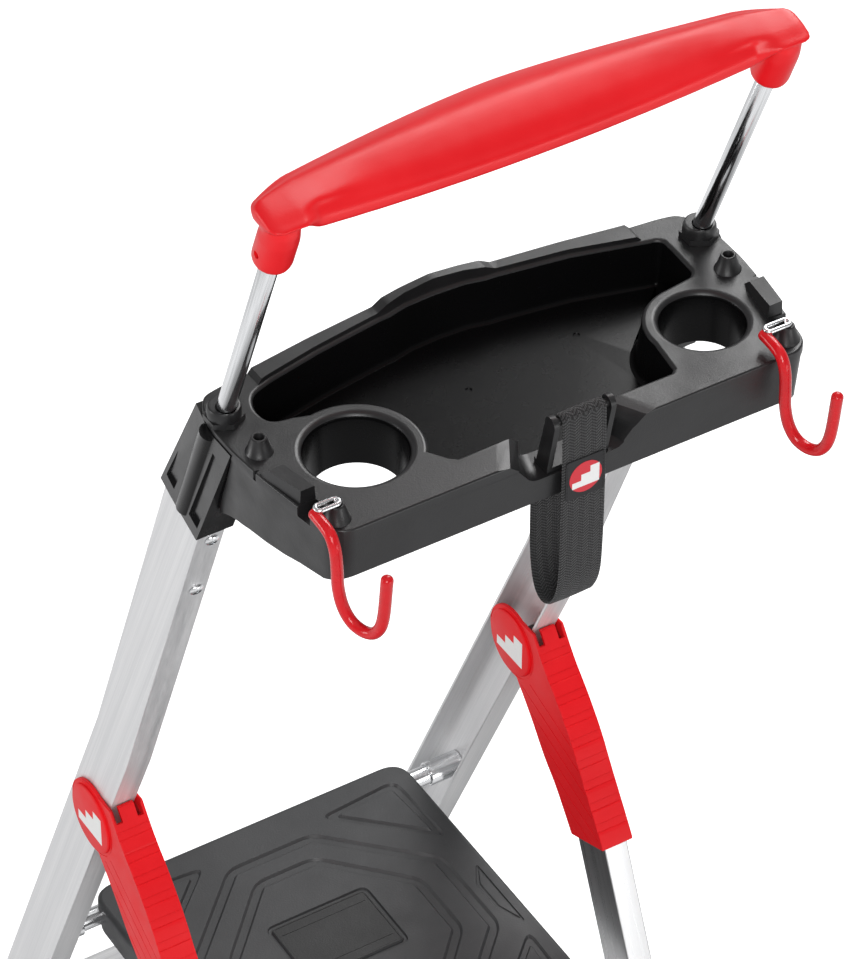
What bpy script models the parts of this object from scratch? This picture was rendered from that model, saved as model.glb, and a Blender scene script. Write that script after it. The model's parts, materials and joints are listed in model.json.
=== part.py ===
"""Four-step platform step ladder with a tool tray, hooks and a strap above the platform.

Metres, +Z up. X runs across the ladder, -Y is the climbing side and +Y the rear legs' side.
The origin is on the floor, under the middle of the ladder's box.
"""
import math

import bmesh
import bpy
import numpy as np

# Heights and the side profile of the frame. The collar point is where a post meets the tray's top.
STEP_PITCH = 0.225
STEP_COUNT = 4
COLLAR_ABOVE_PLATFORM = 0.647
PLATFORM_TOP = STEP_PITCH * STEP_COUNT
COLLAR_Z = PLATFORM_TOP + COLLAR_ABOVE_PLATFORM
COLLAR_Y = 0.17285
UPPER_LEAN = math.radians(21.6)
LOWER_LEAN = math.radians(24.3)
REAR_LEAN = math.radians(22.8)
BEND_DISTANCE = 0.398
BEND_RADIUS = 0.15
GAP = 0.0003

# Front stiles: open channels, 40 x 18 mm.
STILE_DEPTH = 0.040
STILE_WIDTH = 0.018
STILE_WALL = 0.0022
STILE_X = 0.160
STILE_TOP = 0.070
STILE_END_Z = 0.018
TREAD_HALF = STILE_X - STILE_WIDTH / 2 - GAP

# Rear legs: rectangular tubes, 36 x 18 mm.
LEG_DEPTH = 0.036
LEG_WALL = 0.0016
LEG_POINT = (-0.055, -0.620)
LEG_TOP_Z = -0.540
LEG_SLANT = 0.0228

# Hinge and its covers.
HINGE = (-0.175, -0.459)
DISC_RADIUS = 0.0275
CAP_RADIUS = 0.0245
CAP_THICKNESS = 0.0020
CHEEK = 0.0025
COVER_WALL = 0.0024
COVER_END = 0.5660
COVER_HALF = STILE_WIDTH / 2 + 0.0005 + CHEEK
PIN_RADIUS = 0.0040
BUSH_RADIUS = 0.0060

# Platform, its axle and the tube that it rests on.
AXLE = (-0.272, -0.660)
AXLE_RADIUS = 0.0070
COLLAR_RADIUS = 0.0088
COLLAR_START = 0.1400
PLATFORM_HALF = 0.125
PLATFORM_FRONT = -0.284
PLATFORM_REAR = -0.011
PLATFORM_DEPTH = 0.028
REST_RADIUS = 0.011
REST_Y = -0.030

# Treads.
TREAD_DEPTH = 0.085
TREAD_HEIGHT = 0.026

# Posts, collars and grip.
POST_RADIUS = 0.0056
POST_BELOW = 0.130
POST_ABOVE = 0.190
SOCKET_RADIUS = 0.0125
SOCKET_START = 0.160
SOCKET_END = 0.214
GRIP_HALF = 0.164

# Tray.
TRAY_WALL = 0.003
TRAY_DEPTH = 0.034
TRAY_SKIRT = 0.068
TRAY_FRONT = 0.120
BASIN_DEPTH = 0.031
CUPS = ((0.110, 0.062, 0.033), (-0.118, 0.068, 0.028))
CUP_RING = 0.006
PEG_HEIGHT = 0.010
PEGS = ((0.157, 0.036), (-0.157, 0.036), (0.149, 0.107), (-0.149, 0.107))
NOTCH_DEPTH = 0.020
TAIL_X = 0.1560

# Hooks and strap.
WIRE_RADIUS = 0.0036
HOOK_START_X = (0.1625, -0.1340)
HOOK_TURN = math.radians(20)
BARE_RADIUS = 0.0014
LOOP_HALF = 0.0026
LOOP_Z = 0.0124
STRAP_X = -0.002
STRAP_WIDTH = 0.029
STRAP_THICKNESS = 0.0018
BAR_YZ = (0.1185, 0.0175)
RIM_RECESS_Y = (0.0874, 0.0980)
BAR_RADIUS = 0.0025

ROUND = 24
SMALL_ROUND = 16

ALUMINIUM = ((0.78, 0.79, 0.80), 0.32, 1.0)
BRIGHT = ((0.82, 0.83, 0.84), 0.12, 1.0)
BLACK = ((0.025, 0.025, 0.027), 0.38, 0.0)
GREY = ((0.075, 0.077, 0.080), 0.55, 0.0)
RED = ((0.72, 0.022, 0.030), 0.35, 0.0)
COATING = ((0.70, 0.010, 0.020), 0.15, 0.0)
RUBBER = ((0.02, 0.02, 0.02), 0.8, 0.0)
WEBBING = ((0.018, 0.018, 0.020), 0.85, 0.0)


def material(name, look):
    found = bpy.data.materials.get(name)
    if found:
        return found
    made = bpy.data.materials.new(name)
    made.use_nodes = True
    shader = made.node_tree.nodes["Principled BSDF"]
    colour, roughness, metallic = look
    shader.inputs["Base Color"].default_value = (*colour, 1.0)
    shader.inputs["Roughness"].default_value = roughness
    shader.inputs["Metallic"].default_value = metallic
    made.diffuse_color = (*colour, 1.0)
    return made


def at(y, z):
    """World (y, z) of a point given from the collar point."""
    return (y + COLLAR_Y, z + COLLAR_Z)


def finish(name, bm, slot, look, origin=(0.0, 0.0, 0.0), sharp=35.0):
    """Turns a bmesh in world coordinates into an object whose origin is at the point given."""
    bmesh.ops.remove_doubles(bm, verts=bm.verts, dist=1e-6)
    bmesh.ops.recalc_face_normals(bm, faces=bm.faces)
    bmesh.ops.translate(bm, verts=bm.verts, vec=[-value for value in origin])
    mesh = bpy.data.meshes.new(name)
    bm.to_mesh(mesh)
    bm.free()
    mesh.shade_smooth()
    mesh.set_sharp_from_angle(angle=math.radians(sharp))
    mesh.materials.append(material(slot, look))
    made = bpy.data.objects.new(name, mesh)
    made.location = origin
    bpy.context.scene.collection.objects.link(made)
    return made


def helper(name, bm):
    """A solid that only shapes others."""
    made = finish(name, bm, "helper", BLACK)
    made.hide_render = True
    made.display_type = "WIRE"
    return made


def boolean(target, other, operation):
    modifier = target.modifiers.new(operation.lower() + "_" + other.name, "BOOLEAN")
    modifier.operation = operation
    modifier.solver = "EXACT"
    modifier.object = other


def loft(rings, closed_path=False):
    """A closed solid through rings of the same number of points."""
    bm = bmesh.new()
    rows = [[bm.verts.new(point) for point in ring] for ring in rings]
    pairs = list(zip(rows, rows[1:]))
    if closed_path:
        pairs.append((rows[-1], rows[0]))
    for low, high in pairs:
        count = len(low)
        for index in range(count):
            after = (index + 1) % count
            bm.faces.new((low[index], low[after], high[after], high[index]))
    if not closed_path:
        bm.faces.new(rows[0])
        bm.faces.new(rows[-1])
    return bm


def prism_x(outline, low, high):
    """An outline of (y, z) points carried along X."""
    return loft([[(x, y, z) for y, z in outline] for x in (low, high)])


def prism_z(outline, low, high):
    """An outline of (x, y) points carried along Z."""
    return loft([[(x, y, z) for x, y in outline] for z in (low, high)])


def circle(radius, count=ROUND, centre=(0.0, 0.0)):
    return [
        (
            centre[0] + radius * math.cos(2 * math.pi * step / count),
            centre[1] + radius * math.sin(2 * math.pi * step / count),
        )
        for step in range(count)
    ]


def arc(centre, radius, start, end, count):
    """Points on an arc, angles in degrees."""
    return [
        (
            centre[0] + radius * math.cos(math.radians(start + (end - start) * step / count)),
            centre[1] + radius * math.sin(math.radians(start + (end - start) * step / count)),
        )
        for step in range(count + 1)
    ]


def rounded(points, radius, count=4):
    """The outline with each corner replaced by a curve that starts and ends this far from it."""
    result = []
    size = len(points)
    for index, corner in enumerate(points):
        here = np.array(corner)
        before = np.array(points[index - 1])
        after = np.array(points[(index + 1) % size])
        cut_in = min(radius, np.linalg.norm(before - here) * 0.49)
        cut_out = min(radius, np.linalg.norm(after - here) * 0.49)
        first = here + (before - here) / np.linalg.norm(before - here) * cut_in
        last = here + (after - here) / np.linalg.norm(after - here) * cut_out
        for step in range(count + 1):
            share = step / count
            point = (1 - share) ** 2 * first + 2 * share * (1 - share) * here + share**2 * last
            result.append(tuple(point))
    return result


def offset(points, distance):
    """The outline moved along its normals; a positive distance makes a counter-clockwise one bigger."""
    result = []
    size = len(points)
    for index, corner in enumerate(points):
        here = np.array(corner)
        into = here - np.array(points[index - 1])
        out = np.array(points[(index + 1) % size]) - here
        normals = [np.array((side[1], -side[0])) / np.linalg.norm(side) for side in (into, out)]
        mean = normals[0] + normals[1]
        mean /= np.linalg.norm(mean)
        reach = distance / max(float(mean @ normals[0]), 0.5)
        result.append(tuple(here + mean * reach))
    return result


def turned(profile, start, direction, count=ROUND):
    """A solid of revolution: (distance along, radius) pairs, from the start point along the direction."""
    along = np.array(direction) / np.linalg.norm(direction)
    side = np.cross(along, (1.0, 0.0, 0.0))
    if np.linalg.norm(side) < 0.1:
        side = np.cross(along, (0.0, 1.0, 0.0))
    side /= np.linalg.norm(side)
    other = np.cross(along, side)
    rings = []
    for distance, radius in profile:
        centre = np.array(start) + along * distance
        rings.append([tuple(centre + side * u + other * v) for u, v in circle(radius, count)])
    return loft(rings)


def ring_x(centre, inner, outer, low, high, count=ROUND):
    """A ring about an axis along X, at the (y, z) centre."""
    bm = bmesh.new()
    rows = []
    for radius, x in ((inner, low), (outer, low), (outer, high), (inner, high)):
        rows.append([bm.verts.new((x, y, z)) for y, z in circle(radius, count, centre)])
    for low_row, high_row in zip(rows, rows[1:] + rows[:1]):
        for index in range(count):
            after = (index + 1) % count
            bm.faces.new((low_row[index], low_row[after], high_row[after], high_row[index]))
    return bm


def spline_point(a, b, c, d, t):
    """A point on the Catmull-Rom curve between b and c."""
    square = (2 * a - 5 * b + 4 * c - d) * t**2
    cube = (3 * b - a - 3 * c + d) * t**3
    return 0.5 * (2 * b + (c - a) * t + square + cube)


def smooth_path(points, per_span=6):
    """Points on a Catmull-Rom curve through the points given."""
    array = [np.array(point, float) for point in points]
    array = [2 * array[0] - array[1]] + array + [2 * array[-1] - array[-2]]
    result = []
    for a, b, c, d in zip(array, array[1:], array[2:], array[3:]):
        for step in range(per_span):
            result.append(spline_point(a, b, c, d, step / per_span))
    result.append(array[-2])
    return result


def tube(points, radius, count=SMALL_ROUND, ends=1.0):
    """A round bar along a path, with its last ring narrowed at each end."""
    points = [np.array(point) for point in points]
    rings = []
    side = None
    for index, point in enumerate(points):
        before = points[max(index - 1, 0)]
        after = points[min(index + 1, len(points) - 1)]
        along = (after - before) / np.linalg.norm(after - before)
        if side is None:
            side = np.cross(along, (0.3, 0.2, 1.0))
        side = side - along * float(side @ along)
        side /= np.linalg.norm(side)
        other = np.cross(along, side)
        rings.append([tuple(point + side * u + other * v) for u, v in circle(radius, count)])
    if ends < 1.0:
        rings = [shrunk(rings[0], ends)] + rings + [shrunk(rings[-1], ends)]
        tip = (points[0] - points[1]) / np.linalg.norm(points[0] - points[1])
        rings[0] = [tuple(np.array(point) + tip * radius * 0.4) for point in rings[0]]
        tip = (points[-1] - points[-2]) / np.linalg.norm(points[-1] - points[-2])
        rings[-1] = [tuple(np.array(point) + tip * radius * 0.4) for point in rings[-1]]
    return loft(rings)


def shrunk(ring, factor):
    middle = np.mean(np.array(ring), axis=0)
    return [tuple(middle + (np.array(point) - middle) * factor) for point in ring]


def direction(lean):
    """Unit (y, z) that climbs at this lean from the vertical, towards +Y."""
    return np.array((math.sin(lean), math.cos(lean)))


def stile_axis():
    """(y, z) points down the middle of a stile, with a rounded bend, from top to bottom."""
    upper = direction(UPPER_LEAN)
    lower = direction(LOWER_LEAN)
    collar = np.array(at(0.0, 0.0))
    bend = collar - upper * BEND_DISTANCE
    tangent = BEND_RADIUS * math.tan((LOWER_LEAN - UPPER_LEAN) / 2)
    start = bend + upper * tangent
    end = bend - lower * tangent
    middle = (start + end) / 4 + bend / 2
    bottom = bend - lower * ((bend[1] - STILE_END_Z) / lower[1])
    return [collar - upper * STILE_TOP, start, middle, end, bottom]


def stile_line(z):
    """y of the stile's middle line below the bend, at a world height."""
    axis = stile_axis()
    share = (z - axis[3][1]) / (axis[4][1] - axis[3][1])
    return axis[3][0] + (axis[4][0] - axis[3][0]) * share


def leg_line(z):
    """y of the rear leg's middle line at a world height."""
    y, height = at(*LEG_POINT)
    return y + (height - z) * math.tan(REAR_LEAN)


def sweep_section(axis, section):
    """Carries a section of (x, across) points down a path in the YZ plane."""
    rings = []
    for index, point in enumerate(axis):
        before = axis[max(index - 1, 0)]
        after = axis[min(index + 1, len(axis) - 1)]
        along = (after - before) / np.linalg.norm(after - before)
        across = np.array((-along[1], along[0]))
        rings.append([(x, point[0] + across[0] * v, point[1] + across[1] * v) for x, v in section])
    return loft(rings)


def make_stile(side, label):
    inner = STILE_X - STILE_WIDTH / 2
    outer = STILE_X + STILE_WIDTH / 2
    half = STILE_DEPTH / 2
    wall = STILE_WALL
    section = [
        (inner, -half),
        (outer, -half),
        (outer, half),
        (inner, half),
        (inner, half - wall),
        (outer - wall, half - wall),
        (outer - wall, -half + wall),
        (inner, -half + wall),
    ]
    bm = sweep_section(stile_axis(), [(side * x, v) for x, v in section])
    made = finish("stile_" + label, bm, "stile", ALUMINIUM)
    y, z = at(*HINGE)
    bore = PIN_RADIUS + 0.0004
    cutter = turned([(0, bore), (0.03, bore)], (side * 0.162, y, z), (side, 0, 0))
    boolean(made, helper("pin_hole_" + label, cutter), "DIFFERENCE")


def make_stile_cap(side, label):
    """Moulded cap over the stile's top, which carries the tray and guides the post."""
    top_z = -TRAY_WALL - GAP
    up = direction(UPPER_LEAN)
    across = np.array((up[1], -up[0]))
    half = 0.0225
    foot = -up * 0.096
    low_front = foot - across * half
    low_rear = foot + across * half
    inner = STILE_X - 0.012
    top = [(inner, -0.022), (0.1650, -0.022), (0.1712, 0.004), (0.1712, 0.028), (inner, 0.028)]
    low_mid = low_front + (low_rear - low_front) * 0.35
    low = [
        (inner, *low_front),
        (0.1720, *low_front),
        (0.1725, *low_mid),
        (0.1725, *low_rear),
        (inner, *low_rear),
    ]
    rings = [
        [(side * x, *at(y, top_z)) for x, y in top],
        [(side * x, *at(y, z)) for x, y, z in low],
    ]
    made = finish("stile_cap_" + label, loft(rings), "tray", BLACK, sharp=30)
    rib = turned(
        [(0.006, 0.0065), (0.092, 0.0065)],
        (side * 0.1690, *at(0.0035, 0.0)),
        (0, -up[0] * 1.02, -up[1]),
        SMALL_ROUND,
    )
    boolean(made, helper("cap_rib_" + label, rib), "UNION")
    level = prism_z([(-0.3, -0.3), (0.3, -0.3), (0.3, 0.5), (-0.3, 0.5)], COLLAR_Z + top_z, COLLAR_Z + 0.05)
    boolean(made, helper("cap_level_" + label, level), "DIFFERENCE")
    axis = [np.array(at(0, 0)) - up * distance for distance in (STILE_TOP - GAP, 0.13)]
    reach = STILE_WIDTH / 2 + GAP
    deep = STILE_DEPTH / 2 + GAP
    pocket = [
        (side * (STILE_X - reach), -deep),
        (side * (STILE_X + reach), -deep),
        (side * (STILE_X + reach), deep),
        (side * (STILE_X - reach), deep),
    ]
    boolean(made, helper("cap_pocket_" + label, sweep_section(axis, pocket)), "DIFFERENCE")
    boolean(made, post_cutter("cap_post_hole_" + label, side), "DIFFERENCE")
    for name, shift in (("front", -0.0135), ("rear", 0.0150)):
        panel_axis = [
            np.array(at(0, 0)) - up * 0.012 + across * (shift * 0.95 + 0.004),
            np.array(at(0, 0)) - up * 0.086 + across * shift,
        ]
        panel = [
            (side * 0.1700, -0.0052),
            (side * 0.1780, -0.0052),
            (side * 0.1780, 0.0052),
            (side * 0.1700, 0.0052),
        ]
        cutter = helper("cap_panel_" + name + "_" + label, sweep_section(panel_axis, panel))
        boolean(made, cutter, "DIFFERENCE")


def post_cutter(name, side):
    up = direction(UPPER_LEAN)
    start = np.array(at(0, 0)) - up * 0.14
    bm = turned([(0, POST_RADIUS + GAP), (0.18, POST_RADIUS + GAP)], (side * STILE_X, *start), (0, *up))
    return helper(name, bm)


def make_post(side, label):
    up = direction(UPPER_LEAN)
    start = np.array(at(0, 0)) - up * POST_BELOW
    length = POST_BELOW + POST_ABOVE
    bm = turned([(0, POST_RADIUS), (length, POST_RADIUS)], (side * STILE_X, *start), (0, *up))
    finish("post_" + label, bm, "post", BRIGHT)


def make_collar(side, label):
    y, z = at(0.0015, 0.0)
    profile = [(GAP, 0.0118), (0.003, 0.0118), (0.0042, 0.0102), (0.0085, 0.0098), (0.0095, 0.0086)]
    made = finish("post_collar_" + label, turned(profile, (side * STILE_X, y, z), (0, 0, 1)), "tray", BLACK)
    boolean(made, post_cutter("collar_hole_" + label, side), "DIFFERENCE")


def make_stile_screw(side, label, name, distance):
    up = direction(UPPER_LEAN)
    across = np.array((up[1], -up[0]))
    centre = np.array(at(0, 0)) - up * distance + across * (STILE_DEPTH / 2 + GAP)
    profile = [(0, 0.0045), (0.0008, 0.0045), (0.0018, 0.0036), (0.0022, 0.0020)]
    bm = turned(profile, (side * 0.1588, *centre), (0, *across), SMALL_ROUND)
    finish("stile_screw_" + name + "_" + label, bm, "screw", BRIGHT)


def grip_sections():
    """Closed (y, z) curves of the grip from its middle out, with their x."""
    result = []
    count = 9
    for index in range(count):
        x = GRIP_HALF * index / (count - 1)
        share = min(abs(x) / 0.150, 1.0)
        far = 0.0215 + 0.0265 * share**1.7
        far_z = 0.1840 + 0.0110 * share**2
        crest = 0.1945 + 0.0050 * share**2
        near_z = 0.1845 + 0.0085 * share**3
        low_z = 0.1700 + 0.0070 * share**2
        points = [
            (0.0745, near_z),
            (0.0660, near_z + (crest - near_z) * 0.72),
            (far + (0.0660 - far) * 0.55, crest),
            (far + 0.006, far_z + (crest - far_z) * 0.55),
            (far, far_z),
            (far + 0.003, far_z - 0.007),
            (far + (0.0700 - far) * 0.40, low_z + 0.0035),
            (0.0660, low_z),
            (0.0755, low_z + 0.0005),
            (0.0780, low_z + 0.0060),
        ]
        result.append((x, smooth_loop(points, 2)))
    return result


def smooth_loop(points, per_span):
    """A closed Catmull-Rom curve through the points."""
    array = [np.array(point, float) for point in points]
    size = len(array)
    result = []
    for index in range(size):
        a, b, c, d = (array[(index + shift) % size] for shift in (-1, 0, 1, 2))
        for step in range(per_span):
            t = step / per_span
            result.append(tuple(spline_point(a, b, c, d, t)))
    return result


def make_grip():
    half = grip_sections()
    stations = [(-x, curve) for x, curve in reversed(half[1:])] + half
    rings = [[(x, *at(*point)) for point in curve] for x, curve in stations]
    last = rings[-1]
    for grow, factor in ((0.005, 0.86), (0.0075, 0.55)):
        rings.append([(GRIP_HALF + grow, y, z) for _, y, z in shrunk(last, factor)])
        rings.insert(0, [(-x, y, z) for x, y, z in rings[-1]])
    made = finish("grip", loft(rings), "grip", RED, sharp=50)
    up = direction(UPPER_LEAN)
    for side, label in ((1, "left"), (-1, "right")):
        base = (side * STILE_X, *at(0, 0))
        radius = SOCKET_RADIUS
        profile = [
            (SOCKET_START, radius * 0.86),
            (SOCKET_START + 0.0015, radius * 0.95),
            (SOCKET_START + 0.005, radius),
            (SOCKET_END - 0.010, radius),
            (SOCKET_END - 0.004, radius * 0.90),
            (SOCKET_END, radius * 0.60),
        ]
        boolean(made, helper("socket_" + label, turned(profile, base, (0, *up), 28)), "UNION")
    for side, label in ((1, "left"), (-1, "right")):
        bore = POST_RADIUS + GAP
        base = (side * STILE_X, *at(0, 0))
        hole = turned([(0.10, bore), (POST_ABOVE + GAP, bore)], base, (0, *up))
        boolean(made, helper("post_socket_" + label, hole), "DIFFERENCE")
        centre = np.array(at(0, 0)) + up * 0.170
        start = (side * (STILE_X + POST_RADIUS + 0.001), *centre)
        screw = turned([(0, 0.0021), (0.02, 0.0021)], start, (side, 0, 0), 16)
        boolean(made, helper("grip_screw_hole_" + label, screw), "DIFFERENCE")


def make_grip_screw(side, label):
    centre = np.array(at(0, 0)) + direction(UPPER_LEAN) * 0.170
    start = (side * (STILE_X + POST_RADIUS + 0.0013), *centre)
    bm = turned([(0, 0.0017), (0.0030, 0.0017)], start, (side, 0, 0), 16)
    finish("grip_screw_" + label, bm, "screw", BRIGHT)


def tray_outline():
    """Counter-clockwise plan of the tray's top, from the middle of the climbing side."""
    right_half = [
        (0.0, -0.0415),
        (0.020, -0.0410),
        (0.033, -0.0395),
        (0.0400, -0.0387),
        (0.085, -0.0335),
        (0.127, -0.0270),
        (0.148, -0.0250),
        (0.1600, -0.0225),
        (0.1660, -0.0140),
        (0.1705, 0.006),
        (0.1705, 0.030),
        (0.1680, 0.055),
        (0.1640, 0.080),
        (0.1605, 0.100),
        (0.1585, 0.1110),
        (0.1545, 0.1165),
        (0.1480, TRAY_FRONT),
    ]
    left_half = [(-x, y) for x, y in reversed(right_half[1:])]
    return right_half + left_half


def basin_outline():
    """Counter-clockwise plan of the basin's rim, which curls round the two cups."""
    big_x, big_y, big = CUPS[0]
    small_x, small_y, small = CUPS[1]
    big += CUP_RING
    small += CUP_RING
    points = [(0.0, -0.0345), (0.020, -0.0335), (0.033, -0.0305), (0.040, -0.0300), (0.085, -0.0230)]
    points += [(0.120, -0.0155), (0.1320, -0.0115), (0.1378, -0.0070), (0.1412, 0.0000), (0.1420, 0.0080)]
    points += [(0.1402, 0.0150), (0.1350, 0.0188), (0.1270, 0.0203)]
    points += arc((big_x, big_y), big, -80, -215, 12)
    points += [(0.0700, 0.0960), (0.0660, 0.0990), (0.0, 0.0990), (-0.0770, 0.0990), (-0.0805, 0.0960)]
    points += arc((small_x, small_y), small, 4, -85, 10)
    points += arc((-0.1310, 0.0235), 0.0085, 110, 180, 3)
    points += [(-0.1405, 0.004)]
    points += arc((-0.1330, -0.0020), 0.0080, 200, 270, 3)
    points += [(-0.085, -0.0230), (-0.040, -0.0300), (-0.033, -0.0305), (-0.020, -0.0335)]
    return points


def lowered(outline, z):
    return [(x, *at(y, z)) for x, y in outline]


def rim_prism(x_low, x_high, top_low, top_high, steps):
    """A stretch of the raised wall behind the basin; its top goes from one height to the other."""
    outer = [(point[0], point[1]) for point in tray_outline() if point[1] < -0.02]
    inner = [(x, y) for x, y in basin_outline() if y < -0.005]
    outer_x = np.array(sorted(outer))
    inner_x = np.array(sorted(inner))
    rings = []
    for step in range(steps + 1):
        share = step / steps
        x = x_low + (x_high - x_low) * share
        y_out = float(np.interp(x, outer_x[:, 0], outer_x[:, 1]))
        y_in = float(np.interp(x, inner_x[:, 0], inner_x[:, 1]))
        top = top_low + (top_high - top_low) * share
        ring = [(y_out, -0.004), (y_out + 0.0004, top), (y_in - 0.0004, top), (y_in - 0.0003, -0.004)]
        rings.append([(x, *at(y, z)) for y, z in ring])
    return rings


def make_tray():
    outline = tray_outline()
    top_z = 0.0
    rings = [
        lowered(offset(outline, -0.0048), -TRAY_SKIRT),
        lowered(offset(outline, -0.0030), -TRAY_DEPTH),
        lowered(offset(outline, -0.0008), -0.0090),
        lowered(offset(outline, 0.0000), -0.0060),
        lowered(offset(outline, 0.0000), top_z - 0.0012),
        lowered(offset(outline, -0.0010), top_z),
    ]
    made = finish("tray", loft(rings), "tray", BLACK, sharp=25)

    rim = []
    side_top = 0.0028
    centre_top = 0.0062
    spans = ((-0.1290, -0.1265, 0.0, side_top, 1), (-0.1265, -0.0395, side_top, side_top, 6))
    spans += ((-0.0395, -0.0335, side_top, centre_top, 1),)
    spans += ((-0.0335, 0.0, centre_top, centre_top + 0.0025, 4),)
    for low, high, first, last, steps in spans:
        rings = rim_prism(low, high, first, last, steps)
        rim += rings if not rim else rings[1:]
    mirrored = [[(-x, y, z) for x, y, z in ring] for ring in reversed(rim[:-1])]
    boolean(made, helper("tray_rim", loft(rim + mirrored)), "UNION")

    slope = [(0.1300, -0.0362), (0.1175, -0.0368), (0.1040, -0.0430), (0.0840, -0.0455), (0.0700, -0.0485)]
    slope += [(0.0380, -0.0525), (0.0260, -0.0550), (0.0180, -0.0578), (0.0110, -0.0610)]
    middle = [(0.0060, -0.0640), (0.0030, -0.0346), (-0.0600, -0.0338), (-0.0600, -0.0900), (0.1300, -0.0900)]
    edge = prism_x([at(y, z) for y, z in slope + middle], -TAIL_X, TAIL_X)
    boolean(made, helper("tray_under_edge", edge), "DIFFERENCE")
    tail = [(0.0051, -0.0648), (0.0002, -0.0692), (-0.0030, -0.0740), (-0.0030, -0.0900), (0.1300, -0.0900)]
    for side, label in ((1, "left"), (-1, "right")):
        edge = prism_x([at(y, z) for y, z in slope + tail], side * (TAIL_X - 0.001), side * 0.20)
        boolean(made, helper("tray_side_edge_" + label, edge), "DIFFERENCE")

    boolean(made, helper("tray_hollow", hollow_shape()), "DIFFERENCE")
    keep = basin_shell()
    boolean(made, helper("tray_basin_shell", keep), "UNION")
    for index, (x, y, radius) in enumerate(CUPS):
        shell = [(-TRAY_DEPTH, radius - 0.001 + TRAY_WALL * 0.6), (-0.001, radius + TRAY_WALL)]
        bm = turned(shell, (x, *at(y, 0)), (0, 0, 1), 40)
        boolean(made, helper("tray_cup_shell_%d" % index, bm), "UNION")

    ledge = []
    for y, wide, low in ((0.0900, 0.0370, 0.0230), (0.1180, 0.0570, 0.0320)):
        corners = ((-low, -0.0240), (low, -0.0240), (wide, -0.0010), (-wide, -0.0010))
        ledge.append([(x, *at(y, z)) for x, z in corners])
    boolean(made, helper("tray_ledge", loft(ledge)), "UNION")

    basin = basin_outline()
    rings = [
        lowered(offset(basin, -0.0060), -BASIN_DEPTH),
        lowered(offset(basin, -0.0040), -BASIN_DEPTH + 0.0020),
        lowered(offset(basin, -0.0008), -0.0030),
        lowered(offset(basin, 0.0004), 0.0),
        lowered(offset(basin, 0.0004), 0.0200),
    ]
    boolean(made, helper("tray_basin", loft(rings)), "DIFFERENCE")
    for index, (x, y, radius) in enumerate(CUPS):
        profile = [
            (-0.05, radius - 0.0058),
            (-TRAY_DEPTH, radius - 0.0056),
            (-0.0060, radius - 0.0030),
            (-0.0022, radius - 0.0016),
            (0.0, radius + 0.0010),
            (0.01, radius + 0.0010),
        ]
        bm = turned(profile, (x, *at(y, 0)), (0, 0, 1), 40)
        boolean(made, helper("tray_cup_%d" % index, bm), "DIFFERENCE")

    notch = [
        [(0.034, 0.004), (0.029, -0.010), (0.021, -NOTCH_DEPTH)],
        [(0.052, 0.004), (0.042, -0.010), (0.030, -NOTCH_DEPTH)],
    ]
    notch = [half + [(-x, z) for x, z in reversed(half)] for half in notch]
    rings = [[(x, *at(y, z)) for x, z in points] for y, points in zip((0.0925, 0.1232), notch)]
    boolean(made, helper("tray_notch", loft(rings)), "DIFFERENCE")

    for index, (x, y) in enumerate(PEGS):
        base = (x, *at(y, 0))
        profile = [(-0.002, 0.0072), (0.0, 0.0072), (0.0015, 0.0064), (0.0085, 0.0044)]
        profile.append((PEG_HEIGHT, 0.0042))
        boolean(made, helper("peg_%d" % index, turned(profile, base, (0, 0, 1), 20)), "UNION")
        hole = [(0.002, 0.0024), (PEG_HEIGHT + 0.002, 0.0030)]
        bm = turned(hole, base, (0, 0, 1), 16)
        boolean(made, helper("peg_hole_%d" % index, bm), "DIFFERENCE")
    for side, label in ((1, "left"), (-1, "right")):
        boolean(made, helper("rim_deck_" + label, rim_deck(side)), "UNION")
        boolean(made, helper("rim_wedge_" + label, rim_wedge(side)), "UNION")
        near, far = RIM_RECESS_Y
        corners = ((0.1505, near), (0.1760, near), (0.1760, far), (0.1490, far))
        pocket = [(side * x, at(y, 0)[0]) for x, y in corners]
        recess = prism_z(pocket, COLLAR_Z - 0.0075, COLLAR_Z + 0.0150)
        boolean(made, helper("rim_pocket_" + label, recess), "DIFFERENCE")
        boolean(made, cap_clearance(side, label), "DIFFERENCE")
        boolean(made, post_cutter("tray_post_hole_" + label, side), "DIFFERENCE")


def rim_deck(side):
    """Thicker deck under the rim's wedge and under the recess behind it."""
    rings = []
    for y, low, high in ((0.0480, 0.1482, 0.1655), (0.0740, 0.1470, 0.1625), (0.1008, 0.1450, 0.1575)):
        corners = ((low, -0.0105), (high, -0.0105), (high, -0.0007), (low, -0.0007))
        rings.append([(side * x, *at(y, z)) for x, z in corners])
    return loft(rings)


def rim_wedge(side):
    """A ramp on the rim that rises towards the recess and ends in an upright face."""
    rings = []
    stations = ((0.0532, 0.1562, 0.1671, 0.0004), (0.0600, 0.1546, 0.1660, 0.0072))
    stations += ((0.0868, 0.1502, 0.1606, 0.0094),)
    for y, low, high, top in stations:
        corners = ((low, -0.0035), (high, -0.0035), (high - 0.0006, top), (low + 0.0010, top))
        rings.append([(side * x, *at(y, z)) for x, z in corners])
    return loft(rings)


def hollow_shape():
    """Everything under the tray's top skin, inside its outer wall."""
    outline = tray_outline()
    return loft(
        [
            lowered(offset(outline, -0.0079), -TRAY_SKIRT - 0.0041),
            lowered(offset(outline, -0.0059), -TRAY_DEPTH - 0.0007),
            lowered(offset(outline, -0.0036), -0.0093),
            lowered(offset(outline, -0.0033), -TRAY_WALL),
        ]
    )


def basin_shell():
    basin = basin_outline()
    return loft(
        [
            lowered(offset(basin, -0.0030), -TRAY_DEPTH),
            lowered(offset(basin, 0.0018), -0.0030),
            lowered(offset(basin, 0.0024), -0.0010),
        ]
    )


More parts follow.
